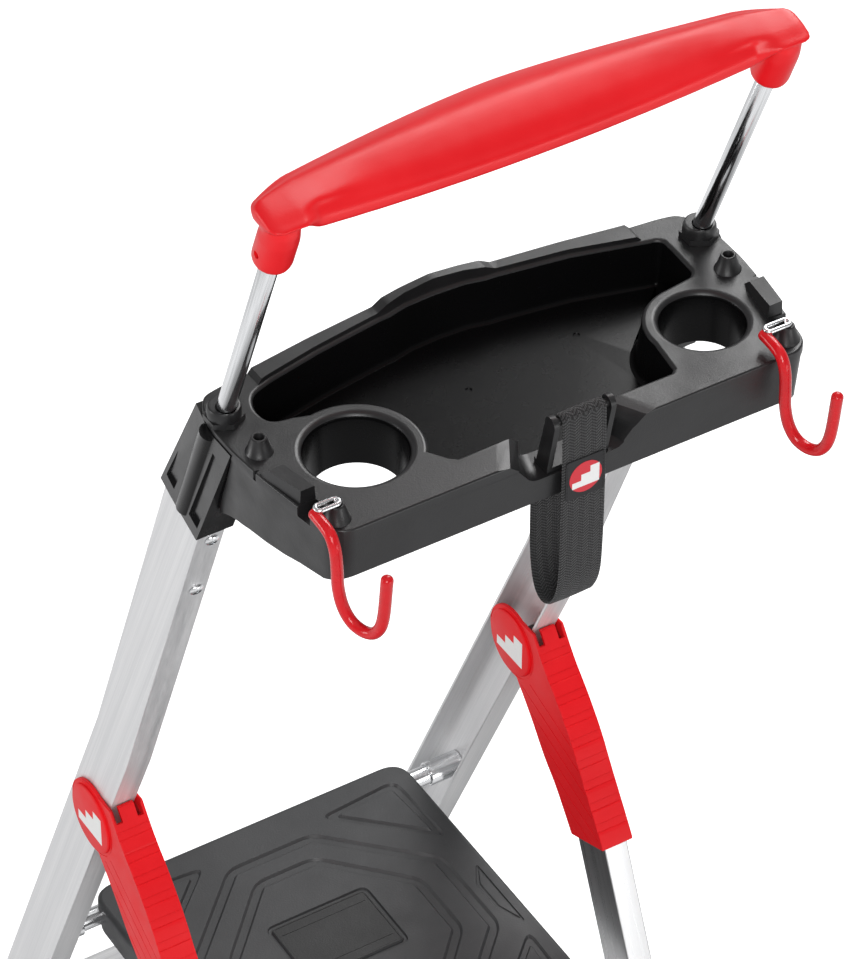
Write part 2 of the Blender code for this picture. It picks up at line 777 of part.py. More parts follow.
def cap_clearance(side, label):
    """The room that the stile cap takes in the tray's corner."""
    up = direction(UPPER_LEAN)
    across = np.array((up[1], -up[0]))
    foot = -up * 0.110
    half = 0.0232
    low_front = foot - across * (half + 0.0015)
    low_rear = foot + across * (half + 0.0010)
    top = [(0.1476, -0.0600), (0.1800, -0.0600), (0.1800, 0.0286), (0.1476, 0.0286)]
    low = [(0.1476, -0.0900), (0.1800, -0.0900), (0.1800, low_rear[0]), (0.1476, low_rear[0])]
    depths = (low_front[1], low_front[1], low_rear[1], low_rear[1])
    rings = [
        [(side * x, *at(y, -TRAY_WALL)) for x, y in top],
        [(side * x, *at(y, z)) for (x, y), z in zip(low, depths)],
    ]
    return helper("cap_clearance_" + label, loft(rings))


def make_hook(index, label):
    """Coated wire hook: a flat bare loop over the peg, then a J that hangs outside the tray."""
    start_x = HOOK_START_X[index]
    profile = [
        (0.1062, 0.0086),
        (0.1120, 0.0082),
        (0.1180, 0.0074),
        (0.1232, 0.0056),
        (0.1268, 0.0010),
        (0.1284, -0.0060),
        (0.1290, -0.0160),
        (0.1295, -0.0280),
        (0.1325, -0.0400),
        (0.1385, -0.0480),
        (0.1470, -0.0500),
        (0.1545, -0.0455),
        (0.1592, -0.0330),
        (0.1620, -0.0030),
    ]
    path = []
    for y, z in profile:
        turn = max(y - 0.1276, 0.0)
        path.append((start_x - turn * math.tan(HOOK_TURN), *at(y, z)))
    bm = tube(smooth_path(path, 2), WIRE_RADIUS, 12, ends=0.6)
    peg_x, peg_y = PEGS[2 + index]
    made = finish("hook_" + label, bm, "hook", COATING, (peg_x, *at(peg_y, 0.0)))
    near = arc((start_x - 0.003, peg_y), LOOP_HALF, -90, 90, 5)
    far = arc((peg_x - BARE_RADIUS + LOOP_HALF, peg_y), LOOP_HALF, 90, 270, 5)
    loop_solid = closed_tube([(x, *at(y, LOOP_Z)) for x, y in near + far], BARE_RADIUS, 10)
    boolean(made, helper("hook_loop_" + label, loop_solid), "UNION")
    pin_radius = BARE_RADIUS - 0.0003
    base = (peg_x, *at(peg_y, LOOP_Z))
    pin = turned([(-0.0090, pin_radius), (0.0, pin_radius)], base, (0, 0, 1), 12)
    boolean(made, helper("hook_pin_" + label, pin), "UNION")


def closed_tube(points, radius, count):
    """A round bar along a closed level path."""
    points = [np.array(point) for point in points]
    rings = []
    size = len(points)
    for index, point in enumerate(points):
        along = points[(index + 1) % size] - points[index - 1]
        along /= np.linalg.norm(along)
        up = np.array((0.0, 0.0, 1.0))
        side = np.cross(along, up)
        rings.append([tuple(point + side * u + up * v) for u, v in circle(radius, count)])
    return loft(rings, closed_path=True)


def make_strap_bracket():
    """Two ears and a bar across the notch, on a foot plate."""
    low = STRAP_X - 0.0205
    high = STRAP_X + 0.0205
    floor = -NOTCH_DEPTH + GAP
    plate = [at(0.1030, floor), at(0.1165, floor), at(0.1165, floor + 0.003), at(0.1030, floor + 0.003)]
    made = finish("strap_bracket", prism_x(plate, low, high), "tray", BLACK)
    y, z = BAR_YZ
    for index, x in enumerate((low, high - 0.0035)):
        ear = [(0.1045, floor), (0.1160, floor)] + arc((y, z), 0.0050, -10, 190, 10)
        bm = prism_x([at(*point) for point in ear], x, x + 0.0035)
        boolean(made, helper("ear_%d" % index, bm), "UNION")
    length = high - low - 0.002
    bar = turned([(0, BAR_RADIUS), (length, BAR_RADIUS)], (low + 0.001, *at(y, z)), (1, 0, 0), 16)
    boolean(made, helper("strap_bar", bar), "UNION")


def strap_path():
    """(y, z) of the webbing's middle: round the bar, down the front, and back up under the tray."""
    y, z = BAR_YZ
    wrap = BAR_RADIUS + 0.0003 + STRAP_THICKNESS / 2
    points = arc((y, z), wrap, 190, 10, 8)
    points += [(0.1227, 0.0000), (0.1228, -0.0220), (0.1228, -0.0450), (0.1224, -0.0800), (0.1205, -0.1050)]
    points += [(0.1140, -0.1215), (0.1050, -0.1275), (0.0970, -0.1225), (0.0925, -0.1060)]
    points += [(0.0910, -0.0800), (0.0915, -0.0360)]
    return points


def make_strap():
    path = [point for point in smooth_path(strap_path(), 2)]
    half = STRAP_THICKNESS / 2
    outer = []
    inner = []
    for index, point in enumerate(path):
        before = path[max(index - 1, 0)]
        after = path[min(index + 1, len(path) - 1)]
        along = (after - before) / np.linalg.norm(after - before)
        normal = np.array((-along[1], along[0]))
        outer.append(tuple(point + normal * half))
        inner.append(tuple(point - normal * half))
    low = STRAP_X - STRAP_WIDTH / 2
    high = STRAP_X + STRAP_WIDTH / 2
    rings = []
    for first, second in zip(outer, inner):
        rings.append([(low, *at(*first)), (high, *at(*first)), (high, *at(*second)), (low, *at(*second))])
    finish("strap", loft(rings), "strap", WEBBING)


def make_strap_patch():
    low = STRAP_X - STRAP_WIDTH / 2 + 0.0015
    high = STRAP_X + STRAP_WIDTH / 2 - 0.0015
    face = 0.1229 + STRAP_THICKNESS / 2 + GAP
    outline = [at(face, -0.0102), at(face + 0.0010, -0.0102), at(face + 0.0010, -0.0382), at(face, -0.0382)]
    finish("strap_patch", prism_x(outline, low, high), "patch", RUBBER)


def make_tread(number):
    """Folded tread between the stiles: a top plate with two lips, sitting on the stiles' middle line."""
    top = STEP_PITCH * number
    middle = stile_line(top - 0.012)
    front = middle - TREAD_DEPTH * 0.56
    rear = front + TREAD_DEPTH
    wall = 0.0025
    outline = [
        (front, top - TREAD_HEIGHT),
        (front + wall, top - TREAD_HEIGHT),
        (front + wall, top - wall),
        (rear - wall, top - wall),
        (rear - wall, top - TREAD_HEIGHT),
        (rear, top - TREAD_HEIGHT),
        (rear, top - 0.004),
        (rear - 0.004, top),
        (front + 0.004, top),
        (front, top - 0.004),
    ]
    finish("tread_%d" % number, prism_x(outline, -TREAD_HALF, TREAD_HALF), "tread", ALUMINIUM)


def make_platform():
    pivot = (0.0, *at(*AXLE))
    top = COLLAR_Z - COLLAR_ABOVE_PLATFORM
    corners = [
        (-PLATFORM_HALF, PLATFORM_FRONT),
        (PLATFORM_HALF, PLATFORM_FRONT),
        (PLATFORM_HALF, PLATFORM_REAR),
        (-PLATFORM_HALF, PLATFORM_REAR),
    ]
    outline = [(x, at(y, 0)[0]) for x, y in rounded(corners, 0.018, 5)]
    rings = []
    for grow, z in ((-0.0015, -PLATFORM_DEPTH), (0.0, -0.006), (0.0, -0.002), (-0.002, 0.0)):
        rings.append([(x, y, top + z) for x, y in offset(outline, grow)])
    made = finish("platform", loft(rings), "platform", GREY, pivot, sharp=30)
    inside = prism_z(offset(outline, -0.0045), top - PLATFORM_DEPTH - 0.001, top - 0.0050)
    boolean(made, helper("platform_inside", inside), "DIFFERENCE")
    bore_radius = AXLE_RADIUS + 0.0004
    start = (-0.17, pivot[1], pivot[2])
    bore = turned([(0, bore_radius), (0.34, bore_radius)], start, (1, 0, 0), 28)
    boolean(made, helper("platform_bore", bore), "DIFFERENCE")
    for index, (grow, deep) in enumerate(((-0.029, 0.0012), (-0.051, 0.0012))):
        octagon = platform_octagon(grow)
        line = offset(octagon, -0.0035)
        groove = groove_ring(octagon, line, top, deep)
        boolean(made, helper("platform_groove_%d" % index, groove), "DIFFERENCE")


def platform_octagon(grow):
    """Eight-sided line on the platform's top, this far inside its edge."""
    middle_y = (PLATFORM_FRONT + PLATFORM_REAR) / 2
    half_x = PLATFORM_HALF + grow
    half_y = (PLATFORM_REAR - PLATFORM_FRONT) / 2 + grow - 0.007
    flat_x = half_x * 0.34
    flat_y = half_y * 0.37
    points = [
        (-flat_x, -half_y),
        (flat_x, -half_y),
        (half_x, -flat_y),
        (half_x, flat_y),
        (flat_x, half_y),
        (-flat_x, half_y),
        (-half_x, flat_y),
        (-half_x, -flat_y),
    ]
    return [(x, at(y + middle_y, 0)[0]) for x, y in points]


def groove_ring(outer, inner, top, deep):
    """A closed band between two outlines, cut this deep into a level face."""
    bm = bmesh.new()
    rows = []
    for outline, z in ((outer, top - deep), (outer, top + 0.002), (inner, top + 0.002), (inner, top - deep)):
        rows.append([bm.verts.new((x, y, z)) for x, y in outline])
    count = len(outer)
    for low_row, high_row in zip(rows, rows[1:] + rows[:1]):
        for index in range(count):
            after = (index + 1) % count
            bm.faces.new((low_row[index], low_row[after], high_row[after], high_row[index]))
    return bm


def make_axle():
    reach = STILE_X + STILE_WIDTH / 2 - STILE_WALL - GAP
    y, z = at(*AXLE)
    bm = turned([(0, AXLE_RADIUS), (2 * reach, AXLE_RADIUS)], (-reach, y, z), (1, 0, 0), 28)
    finish("platform_axle", bm, "tube", BRIGHT)


def make_axle_collar(side, label):
    web = STILE_X + STILE_WIDTH / 2 - STILE_WALL
    bm = ring_x(at(*AXLE), AXLE_RADIUS + GAP, COLLAR_RADIUS, side * COLLAR_START, side * (web - GAP))
    finish("axle_collar_" + label, bm, "tube", BRIGHT)


def make_front_foot(side, label):
    axis = stile_axis()
    up = direction(LOWER_LEAN)
    across = np.array((up[1], -up[0]))
    bottom = axis[-1]
    half = STILE_DEPTH / 2 + 0.0035
    rise = 0.050
    front_top = bottom + up * rise - across * half
    rear_top = bottom + up * rise + across * half
    front = front_top - up * (front_top[1] / up[1])
    rear = rear_top - up * (rear_top[1] / up[1])
    outline = [(front[0] - 0.002, 0.0), (rear[0] + 0.002, 0.0), (rear[0] + 0.004, 0.010)]
    outline += [tuple(rear_top), tuple(front_top)]
    outline.append((front[0] + 0.0005, 0.010))
    low = STILE_X - 0.0125
    high = STILE_X + 0.0125
    made = finish("front_foot_" + label, prism_x(outline, side * low, side * high), "foot", RUBBER)
    path = [bottom - up * GAP, bottom + up * 0.09]
    boolean(made, helper("front_foot_pocket_" + label, pocket_bar(side, path, STILE_DEPTH)), "DIFFERENCE")


def pocket_bar(side, path, depth):
    reach = STILE_WIDTH / 2 + GAP
    deep = depth / 2 + GAP
    section = [
        (side * (STILE_X - reach), -deep),
        (side * (STILE_X + reach), -deep),
        (side * (STILE_X + reach), deep),
        (side * (STILE_X - reach), deep),
    ]
    return sweep_section(path, section)


def leg_ends():
    top_z = COLLAR_Z + LEG_TOP_Z
    return np.array((leg_line(top_z), top_z)), np.array((leg_line(STILE_END_Z), STILE_END_Z))


def make_rear_leg(side, label):
    hinge = (0.0, *at(*HINGE))
    top, bottom = leg_ends()
    along = (bottom - top) / np.linalg.norm(bottom - top)
    across = np.array((-along[1], along[0]))
    bm = bmesh.new()
    rows = []
    half_x = STILE_WIDTH / 2
    half_v = LEG_DEPTH / 2
    for point, wall in ((top, LEG_WALL), (top, 0.0), (bottom, 0.0), (bottom, LEG_WALL)):
        row = []
        for x, v in ((-1, -1), (1, -1), (1, 1), (-1, 1)):
            spot = point + across * v * (half_v - wall)
            if point is top:
                spot = spot + along * LEG_SLANT * v * (half_v - wall) / half_v
            row.append(bm.verts.new((side * STILE_X + x * (half_x - wall), *spot)))
        rows.append(row)
    for low_row, high_row in zip(rows, rows[1:] + rows[:1]):
        for index in range(4):
            after = (index + 1) % 4
            bm.faces.new((low_row[index], low_row[after], high_row[after], high_row[index]))
    finish("rear_leg_" + label, bm, "leg", ALUMINIUM, hinge)


def make_rear_foot(side, label):
    hinge = (0.0, *at(*HINGE))
    _, bottom = leg_ends()
    up = direction(-REAR_LEAN)
    across = np.array((up[1], -up[0]))
    half = LEG_DEPTH / 2 + 0.0035
    front_top = bottom + up * 0.050 - across * half
    rear_top = bottom + up * 0.050 + across * half
    front = front_top - up * (front_top[1] / up[1])
    rear = rear_top - up * (rear_top[1] / up[1])
    outline = [(front[0] - 0.002, 0.0), (rear[0] + 0.002, 0.0), (rear[0] - 0.0005, 0.010)]
    outline += [tuple(rear_top), tuple(front_top)]
    outline.append((front[0] - 0.004, 0.010))
    made = finish(
        "rear_foot_" + label,
        prism_x(outline, side * (STILE_X - 0.0125), side * (STILE_X + 0.0125)),
        "foot",
        RUBBER,
        hinge,
    )
    path = [bottom - up * GAP, bottom + up * 0.09]
    boolean(made, helper("rear_foot_pocket_" + label, pocket_bar(side, path, LEG_DEPTH)), "DIFFERENCE")


def make_brace(name, height):
    """Flat bar across the rear faces of the legs."""
    hinge = (0.0, *at(*HINGE))
    up = direction(-REAR_LEAN)
    across = np.array((up[1], -up[0]))
    centre = np.array((leg_line(height), height)) + across * (LEG_DEPTH / 2 + GAP)
    half = 0.018
    lip = 0.010
    thick = 0.0022
    corners = ((-half, 0), (-half, lip), (-half + thick, lip), (-half + thick, thick), (half - thick, thick))
    corners += ((half - thick, lip), (half, lip), (half, 0))
    outline = [tuple(centre + up * u + across * v) for u, v in corners]
    reach = STILE_X + STILE_WIDTH / 2
    finish(name, prism_x(outline, -reach, reach), "leg", ALUMINIUM, hinge)


def make_rest_tube():
    hinge = (0.0, *at(*HINGE))
    y = at(REST_Y, 0)[0]
    z = PLATFORM_TOP - PLATFORM_DEPTH - GAP - REST_RADIUS
    reach = STILE_X - STILE_WIDTH / 2 - GAP
    bm = turned([(0, REST_RADIUS), (2 * reach, REST_RADIUS)], (-reach, y, z), (1, 0, 0), 28)
    finish("platform_rest_tube", bm, "tube", BRIGHT, hinge)


def cover_curves():
    """Rear and front (y, z) lines of the hinge cover, from the hinge down to the leg."""
    top, bottom = leg_ends()
    along = (bottom - top) / np.linalg.norm(bottom - top)
    across = np.array((-along[1], along[0]))
    end = np.array((leg_line(COLLAR_Z - COVER_END), COLLAR_Z - COVER_END))
    reach = LEG_DEPTH / 2 + GAP + COVER_WALL
    rear_end = end + across * reach
    front_end = end - across * reach
    rear = [at(-0.1495, -0.4320), at(-0.1345, -0.4520), at(-0.1165, -0.4710)]
    rear += [at(-0.0995, -0.4920), at(-0.0850, -0.5150)]
    front = [at(-0.1690, -0.4860), at(-0.1500, -0.5080), at(-0.1330, -0.5300), at(-0.1170, -0.5470)]
    rear += [tuple(rear_end - along * 0.007), tuple(rear_end)]
    rear = [tuple(point) for point in smooth_path(rear, 3)]
    front = [tuple(point) for point in smooth_path(front + [tuple(front_end)], 3)]
    return rear, front


def make_hinge_cover(side, label):
    """Moulded fork: two cheeks beside the stile, a wall behind it, and a socket round the leg."""
    hinge = (0.0, *at(*HINGE))
    y, z = at(*HINGE)
    rear, front = cover_curves()
    disc = arc((y, z), DISC_RADIUS, -82, -290, 20)
    outline = rear + list(reversed(front)) + disc
    low = side * (STILE_X - COVER_HALF)
    high = side * (STILE_X + COVER_HALF)
    made = finish("hinge_cover_" + label, prism_x(outline, low, high), "cover", RED, hinge, sharp=30)
    wall = COVER_WALL
    rear_in = offset_line(rear, wall)
    front_in = offset_line(front, -wall)
    top, bottom = leg_ends()
    along = (bottom - top) / np.linalg.norm(bottom - top)
    inside = [tuple(np.array(rear_in[0]) + np.array((-0.004, 0.012)))]
    inside += rear_in
    inside += [tuple(np.array(rear_in[-1]) + along * 0.02), tuple(np.array(front_in[-1]) + along * 0.02)]
    inside += list(reversed(front_in[9:]))
    inside += [at(-0.1500, -0.5400), at(-0.2250, -0.5400), at(-0.2250, -0.4150), at(-0.1700, -0.4150)]
    reach = STILE_WIDTH / 2 + 0.0005
    cavity = prism_x(inside, side * (STILE_X - reach), side * (STILE_X + reach))
    boolean(made, helper("cover_cavity_" + label, cavity), "DIFFERENCE")
    bore = PIN_RADIUS + GAP
    hole = turned([(0, bore), (0.04, bore)], (side * (STILE_X - 0.02), y, z), (side, 0, 0))
    boolean(made, helper("cover_pin_hole_" + label, hole), "DIFFERENCE")


def offset_line(points, distance):
    """An open line moved sideways."""
    result = []
    for index, point in enumerate(points):
        before = np.array(points[max(index - 1, 0)])
        after = np.array(points[min(index + 1, len(points) - 1)])
        along = (after - before) / np.linalg.norm(after - before)
        result.append(tuple(np.array(point) + np.array((along[1], -along[0])) * distance))
    return result


def make_hinge_parts(side, label):
    y, z = at(*HINGE)
    hinge = (0.0, y, z)
    inner = STILE_X - COVER_HALF
    outer = STILE_X + COVER_HALF
    length = outer - inner - 0.0004
    pin = turned([(0, PIN_RADIUS), (length, PIN_RADIUS)], (side * (inner + 0.0002), y, z), (side, 0, 0))
    finish("hinge_pin_" + label, pin, "pin", BRIGHT, hinge)
    web = STILE_X + STILE_WIDTH / 2 - STILE_WALL
    start = STILE_X - STILE_WIDTH / 2
    bush = ring_x((y, z), PIN_RADIUS + 0.00008, BUSH_RADIUS, side * start, side * (web - GAP))
    finish("hinge_bush_" + label, bush, "bush", GREY)
    for name, x, way in (("outer", outer, 1), ("inner", inner, -1)):
        profile = [(GAP, CAP_RADIUS), (CAP_THICKNESS - 0.0005, CAP_RADIUS)]
        profile.append((CAP_THICKNESS, CAP_RADIUS - 0.0010))
        bm = turned(profile, (side * x, y, z), (side * way, 0, 0), 40)
        finish("hinge_disc_" + name + "_" + label, bm, "cover", RED, hinge)


def build():
    for old in list(bpy.data.objects):
        bpy.data.objects.remove(old, do_unlink=True)
    for side, label in ((1, "left"), (-1, "right")):
        make_stile(side, label)
        make_stile_cap(side, label)
        make_post(side, label)
        make_collar(side, label)
        make_stile_screw(side, label, "upper", 0.108)
        make_stile_screw(side, label, "lower", 0.168)
        make_grip_screw(side, label)
        make_axle_collar(side, label)
        make_front_foot(side, label)
        make_rear_leg(side, label)
        make_rear_foot(side, label)
        make_hinge_cover(side, label)
        make_hinge_parts(side, label)
    make_grip()
    make_tray()
    make_hook(0, "left")
    make_hook(1, "right")
    make_strap_bracket()
    make_strap()
    make_strap_patch()
    for number in range(1, STEP_COUNT):
        make_tread(number)
    make_axle()
    make_platform()
    make_brace("rear_brace_lower", 0.260)
    make_brace("rear_brace_upper", 0.560)
    make_rest_tube()


build()
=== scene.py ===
import json
import math

import bmesh
import bpy
import numpy as np
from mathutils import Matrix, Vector


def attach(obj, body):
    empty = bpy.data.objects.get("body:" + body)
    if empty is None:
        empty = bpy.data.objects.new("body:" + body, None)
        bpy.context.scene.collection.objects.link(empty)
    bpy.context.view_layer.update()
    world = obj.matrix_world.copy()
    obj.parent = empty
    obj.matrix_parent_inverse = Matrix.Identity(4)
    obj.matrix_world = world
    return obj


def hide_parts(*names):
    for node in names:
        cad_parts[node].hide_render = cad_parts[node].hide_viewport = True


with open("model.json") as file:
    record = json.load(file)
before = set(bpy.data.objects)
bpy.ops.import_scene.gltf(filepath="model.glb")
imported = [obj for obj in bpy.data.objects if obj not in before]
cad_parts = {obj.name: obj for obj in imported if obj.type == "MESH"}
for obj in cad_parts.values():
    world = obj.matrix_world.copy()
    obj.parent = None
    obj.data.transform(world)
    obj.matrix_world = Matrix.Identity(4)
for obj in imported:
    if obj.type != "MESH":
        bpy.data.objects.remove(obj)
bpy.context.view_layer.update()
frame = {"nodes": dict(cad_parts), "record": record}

COLLAR_Y = 0.17285
COLLAR_Z = 1.547
UPPER_LEAN = math.radians(21.6)
LOWER_LEAN = math.radians(24.3)
REAR_LEAN = math.radians(22.8)
SIDES = ((1, "left"), (-1, "right"))
POST_X = 0.160
PLATFORM_TOP = 0.900

CAMERA_PLACE = (1.1347, 1.8147 + COLLAR_Y, 1.7343 + COLLAR_Z)
CAMERA_LOOK = (-0.3937, -0.6455, -0.6545)
CAMERA_LENS = 180.19


def at(y, z):
    """World (y, z) of a point given from where a post meets the tray."""
    return (y + COLLAR_Y, z + COLLAR_Z)


def direction(lean):
    """(y, z) direction up along something that leans towards +Y."""
    return np.array((math.sin(lean), math.cos(lean)))


# ---------------------------------------------------------------- materials


class Nodes:
    """A short way to write a node tree."""

    def __init__(self, name):
        self.material = bpy.data.materials.new(name)
        self.material.use_nodes = True
        self.tree = self.material.node_tree
        self.shader = self.tree.nodes["Principled BSDF"]

    def add(self, kind, inputs=(), **settings):
        node = self.tree.nodes.new(kind)
        for key, value in settings.items():
            setattr(node, key, value)
        for key, value in dict(inputs).items():
            self.put(node.inputs[key], value)
        return node

    def put(self, socket, value):
        if isinstance(value, bpy.types.NodeSocket):
            self.tree.links.new(value, socket)
        else:
            socket.default_value = value

    def set(self, **values):
        names = {
            "base": "Base Color",
            "rough": "Roughness",
            "metal": "Metallic",
            "normal": "Normal",
            "coat": "Coat Weight",
            "coat_rough": "Coat Roughness",
            "specular": "Specular IOR Level",
            "sheen": "Sheen Weight",
            "sheen_rough": "Sheen Roughness",
        }
        for key, value in values.items():
            self.put(self.shader.inputs[names[key]], value)

    def place(self, scale=(1, 1, 1), turn=(0, 0, 0), source="Object"):
        """The piece's own coordinates, turned back by the turn and then scaled."""
        where = self.add("ShaderNodeTexCoord").outputs[source]
        inputs = {"Vector": where, "Scale": tuple(1 / value for value in scale), "Rotation": turn}
        return self.add("ShaderNodeMapping", inputs, vector_type="TEXTURE").outputs["Vector"]

    def noise(self, vector, scale, detail=3.0, rough=0.5):
        inputs = {"Vector": vector, "Scale": scale, "Detail": detail, "Roughness": rough}
        return self.add("ShaderNodeTexNoise", inputs).outputs["Fac"]

    def span(self, value, low, high, start=0.3, end=0.7):
        """The value carried from start..end to low..high."""
        inputs = {"Value": value, "From Min": start, "From Max": end, "To Min": low, "To Max": high}
        return self.add("ShaderNodeMapRange", inputs).outputs["Result"]

    def blend(self, factor, first, second):
        made = self.add("ShaderNodeMix", data_type="RGBA")
        self.put(made.inputs["Factor"], factor)
        self.put(made.inputs["A"], (*first, 1.0) if isinstance(first, tuple) else first)
        self.put(made.inputs["B"], (*second, 1.0) if isinstance(second, tuple) else second)
        return made.outputs["Result"]

    def bump(self, height, distance):
        inputs = {"Height": height, "Distance": distance, "Strength": 1.0}
        return self.add("ShaderNodeBump", inputs).outputs["Normal"]

    def math(self, operation, *values):
        made = self.add("ShaderNodeMath", operation=operation)
        for socket, value in zip(made.inputs, values):
            self.put(socket, value)
        return made.outputs[0]


def moulded(name, dark, light, rough, grain=900.0, depth=0.00006, worn=0.0, specular=0.5, spread=0.055):
    """Spark-textured moulded plastic: a fine pebble, and slow changes of tone and gloss."""
    n = Nodes(name)
    where = n.place()
    slow = n.noise(where, 14.0, 4.0)
    fine = n.noise(where, grain, 2.0, 0.6)
    mid = n.noise(where, grain * 0.35, 2.0, 0.5)
    tone = n.blend(n.span(slow, 0.0, 1.0), dark, light)
    if worn:
        scratch = n.noise(n.place((30, 400, 60), (0.4, 0.2, 0.8)), 3.0, 5.0, 0.7)
        scuffed = tuple(min(1.0, part * 2.2 + 0.01) for part in light)
        tone = n.blend(n.span(scratch, 0.0, worn, 0.60, 0.80), tone, scuffed)
    both = n.math("ADD", fine, n.math("MULTIPLY", mid, 0.6))
    n.set(base=tone, rough=n.span(n.noise(where, 60.0, 3.0), rough - spread, rough + spread))
    n.set(normal=n.bump(both, depth), specular=specular)
    return n.material


def brushed(name, lean, low=0.70, high=0.86, rough=0.30, metal=1.0, sideways=False):
    """Extruded and brushed aluminium: long fine lines down the profile, or along X if sideways."""
    n = Nodes(name)
    fine = (9, 1500, 1500) if sideways else (1500, 1500, 9)
    coarse = (2, 160, 160) if sideways else (160, 160, 2)
    lines = n.noise(n.place(fine, (-lean, 0, 0)), 1.0, 4.0, 0.65)
    wide = n.noise(n.place(coarse, (-lean, 0, 0)), 1.0, 3.0, 0.5)
    cloud = n.noise(n.place(), 11.0, 4.0, 0.6)
    mixed = n.math("ADD", n.math("MULTIPLY", lines, 0.5), n.math("MULTIPLY", wide, 0.5))
    dull = (low, low * 1.005, low * 1.015)
    bright = (high, high, high * 1.005)
    tone = n.blend(n.span(mixed, 0.0, 1.0, 0.38, 0.62), dull, bright)
    shade = n.blend(n.span(cloud, 0.0, 0.10), tone, (0.60, 0.60, 0.62))
    n.set(base=shade, metal=metal, rough=n.span(mixed, rough - 0.07, rough + 0.09, 0.36, 0.64))
    n.set(normal=n.bump(lines, 0.000012))
    return n.material


def drawn_tube(name, lean, rough=0.13, fine=(700, 700, 14), coarse=(260, 260, 60)):
    """Bright drawn tube with faint dark die lines along it."""
    n = Nodes(name)
    streak = n.noise(n.place(fine, (-lean, 0, 0)), 1.0, 5.0, 0.7)
    spots = n.noise(n.place(coarse, (-lean, 0, 0)), 1.0, 4.0, 0.7)
    tone = n.blend(n.span(streak, 0.0, 1.0, 0.32, 0.6), (0.68, 0.69, 0.70), (0.92, 0.93, 0.94))
    tone = n.blend(n.span(spots, 0.0, 0.3, 0.64, 0.78), tone, (0.45, 0.45, 0.46))
    n.set(base=tone, metal=1.0, rough=n.span(streak, rough - 0.05, rough + 0.10, 0.35, 0.65))
    n.set(normal=n.bump(streak, 0.00002))
    return n.material


def red_moulded(name, rough, specular=0.38):
    """Red moulded plastic with a very fine pebble."""
    n = Nodes(name)
    where = n.place()
    fine = n.noise(where, 1100.0, 2.0, 0.6)
    slow = n.noise(where, 20.0, 3.0)
    n.set(base=n.blend(n.span(slow, 0.0, 1.0), (0.760, 0.0060, 0.0110), (0.830, 0.0085, 0.0140)))
    n.set(rough=n.span(n.noise(where, 80.0, 3.0), rough - 0.04, rough + 0.05))
    n.set(normal=n.bump(fine, 0.00005), specular=specular)
    return n.material


def dipped(name):
    """Glossy dip coating on wire, a little uneven."""
    n = Nodes(name)
    where = n.place()
    wavy = n.noise(where, 120.0, 3.0, 0.5)
    n.set(base=n.blend(n.span(wavy, 0.0, 1.0), (0.600, 0.005, 0.010), (0.680, 0.008, 0.014)))
    n.set(rough=n.span(wavy, 0.20, 0.32), specular=0.22, coat=0.35, coat_rough=0.05)
    n.set(normal=n.bump(wavy, 0.00020))
    return n.material


def rubber(name):
    """Dull rubber with a little dust."""
    n = Nodes(name)
    where = n.place()
    n.set(base=n.blend(n.noise(where, 40.0, 4.0), (0.012, 0.012, 0.013), (0.035, 0.034, 0.033)))
    n.set(rough=n.span(n.noise(where, 200.0), 0.62, 0.85), normal=n.bump(n.noise(where, 700.0, 3.0), 0.00012))
    return n.material


def webbing(name):
    """Herringbone webbing. U runs across and V along, in metres."""
    n = Nodes(name)
    uv = n.add("ShaderNodeSeparateXYZ", {"Vector": n.add("ShaderNodeTexCoord").outputs["UV"]})
    stripe = n.math("PINGPONG", uv.outputs["X"], 0.0036)
    along = n.math("ADD", uv.outputs["Y"], n.math("MULTIPLY", stripe, 0.75))
    wave = n.math("SINE", n.math("MULTIPLY", along, 2 * math.pi / 0.0021))
    across = n.math("SINE", n.math("MULTIPLY", uv.outputs["X"], 2 * math.pi / 0.0012))
    thread = n.math("ADD", n.math("MULTIPLY", wave, 0.7), n.math("MULTIPLY", across, 0.3))
    fuzz = n.noise(n.place(source="UV"), 2600.0, 2.0)
    level = n.math("ADD", thread, n.math("MULTIPLY", fuzz, 0.5))
    n.set(base=n.blend(n.span(level, 0.0, 1.0, 0.1, 1.2), (0.003, 0.003, 0.0034), (0.050, 0.050, 0.052)))
    n.set(rough=0.74, sheen=0.12, sheen_rough=0.5, normal=n.bump(level, 0.00035))
    return n.material


def printed(name, colour, rough=0.5):
    """Flat print with a faint speckle."""
    n = Nodes(name)
    where = n.place()
    speck = n.noise(where, 500.0, 2.0)
    light = tuple(min(1.0, c * 1.08 + 0.004) for c in colour)
    n.set(base=n.blend(speck, colour, light), rough=n.span(speck, rough - 0.05, rough + 0.05))
    n.set(normal=n.bump(speck, 0.00003))
    return n.material


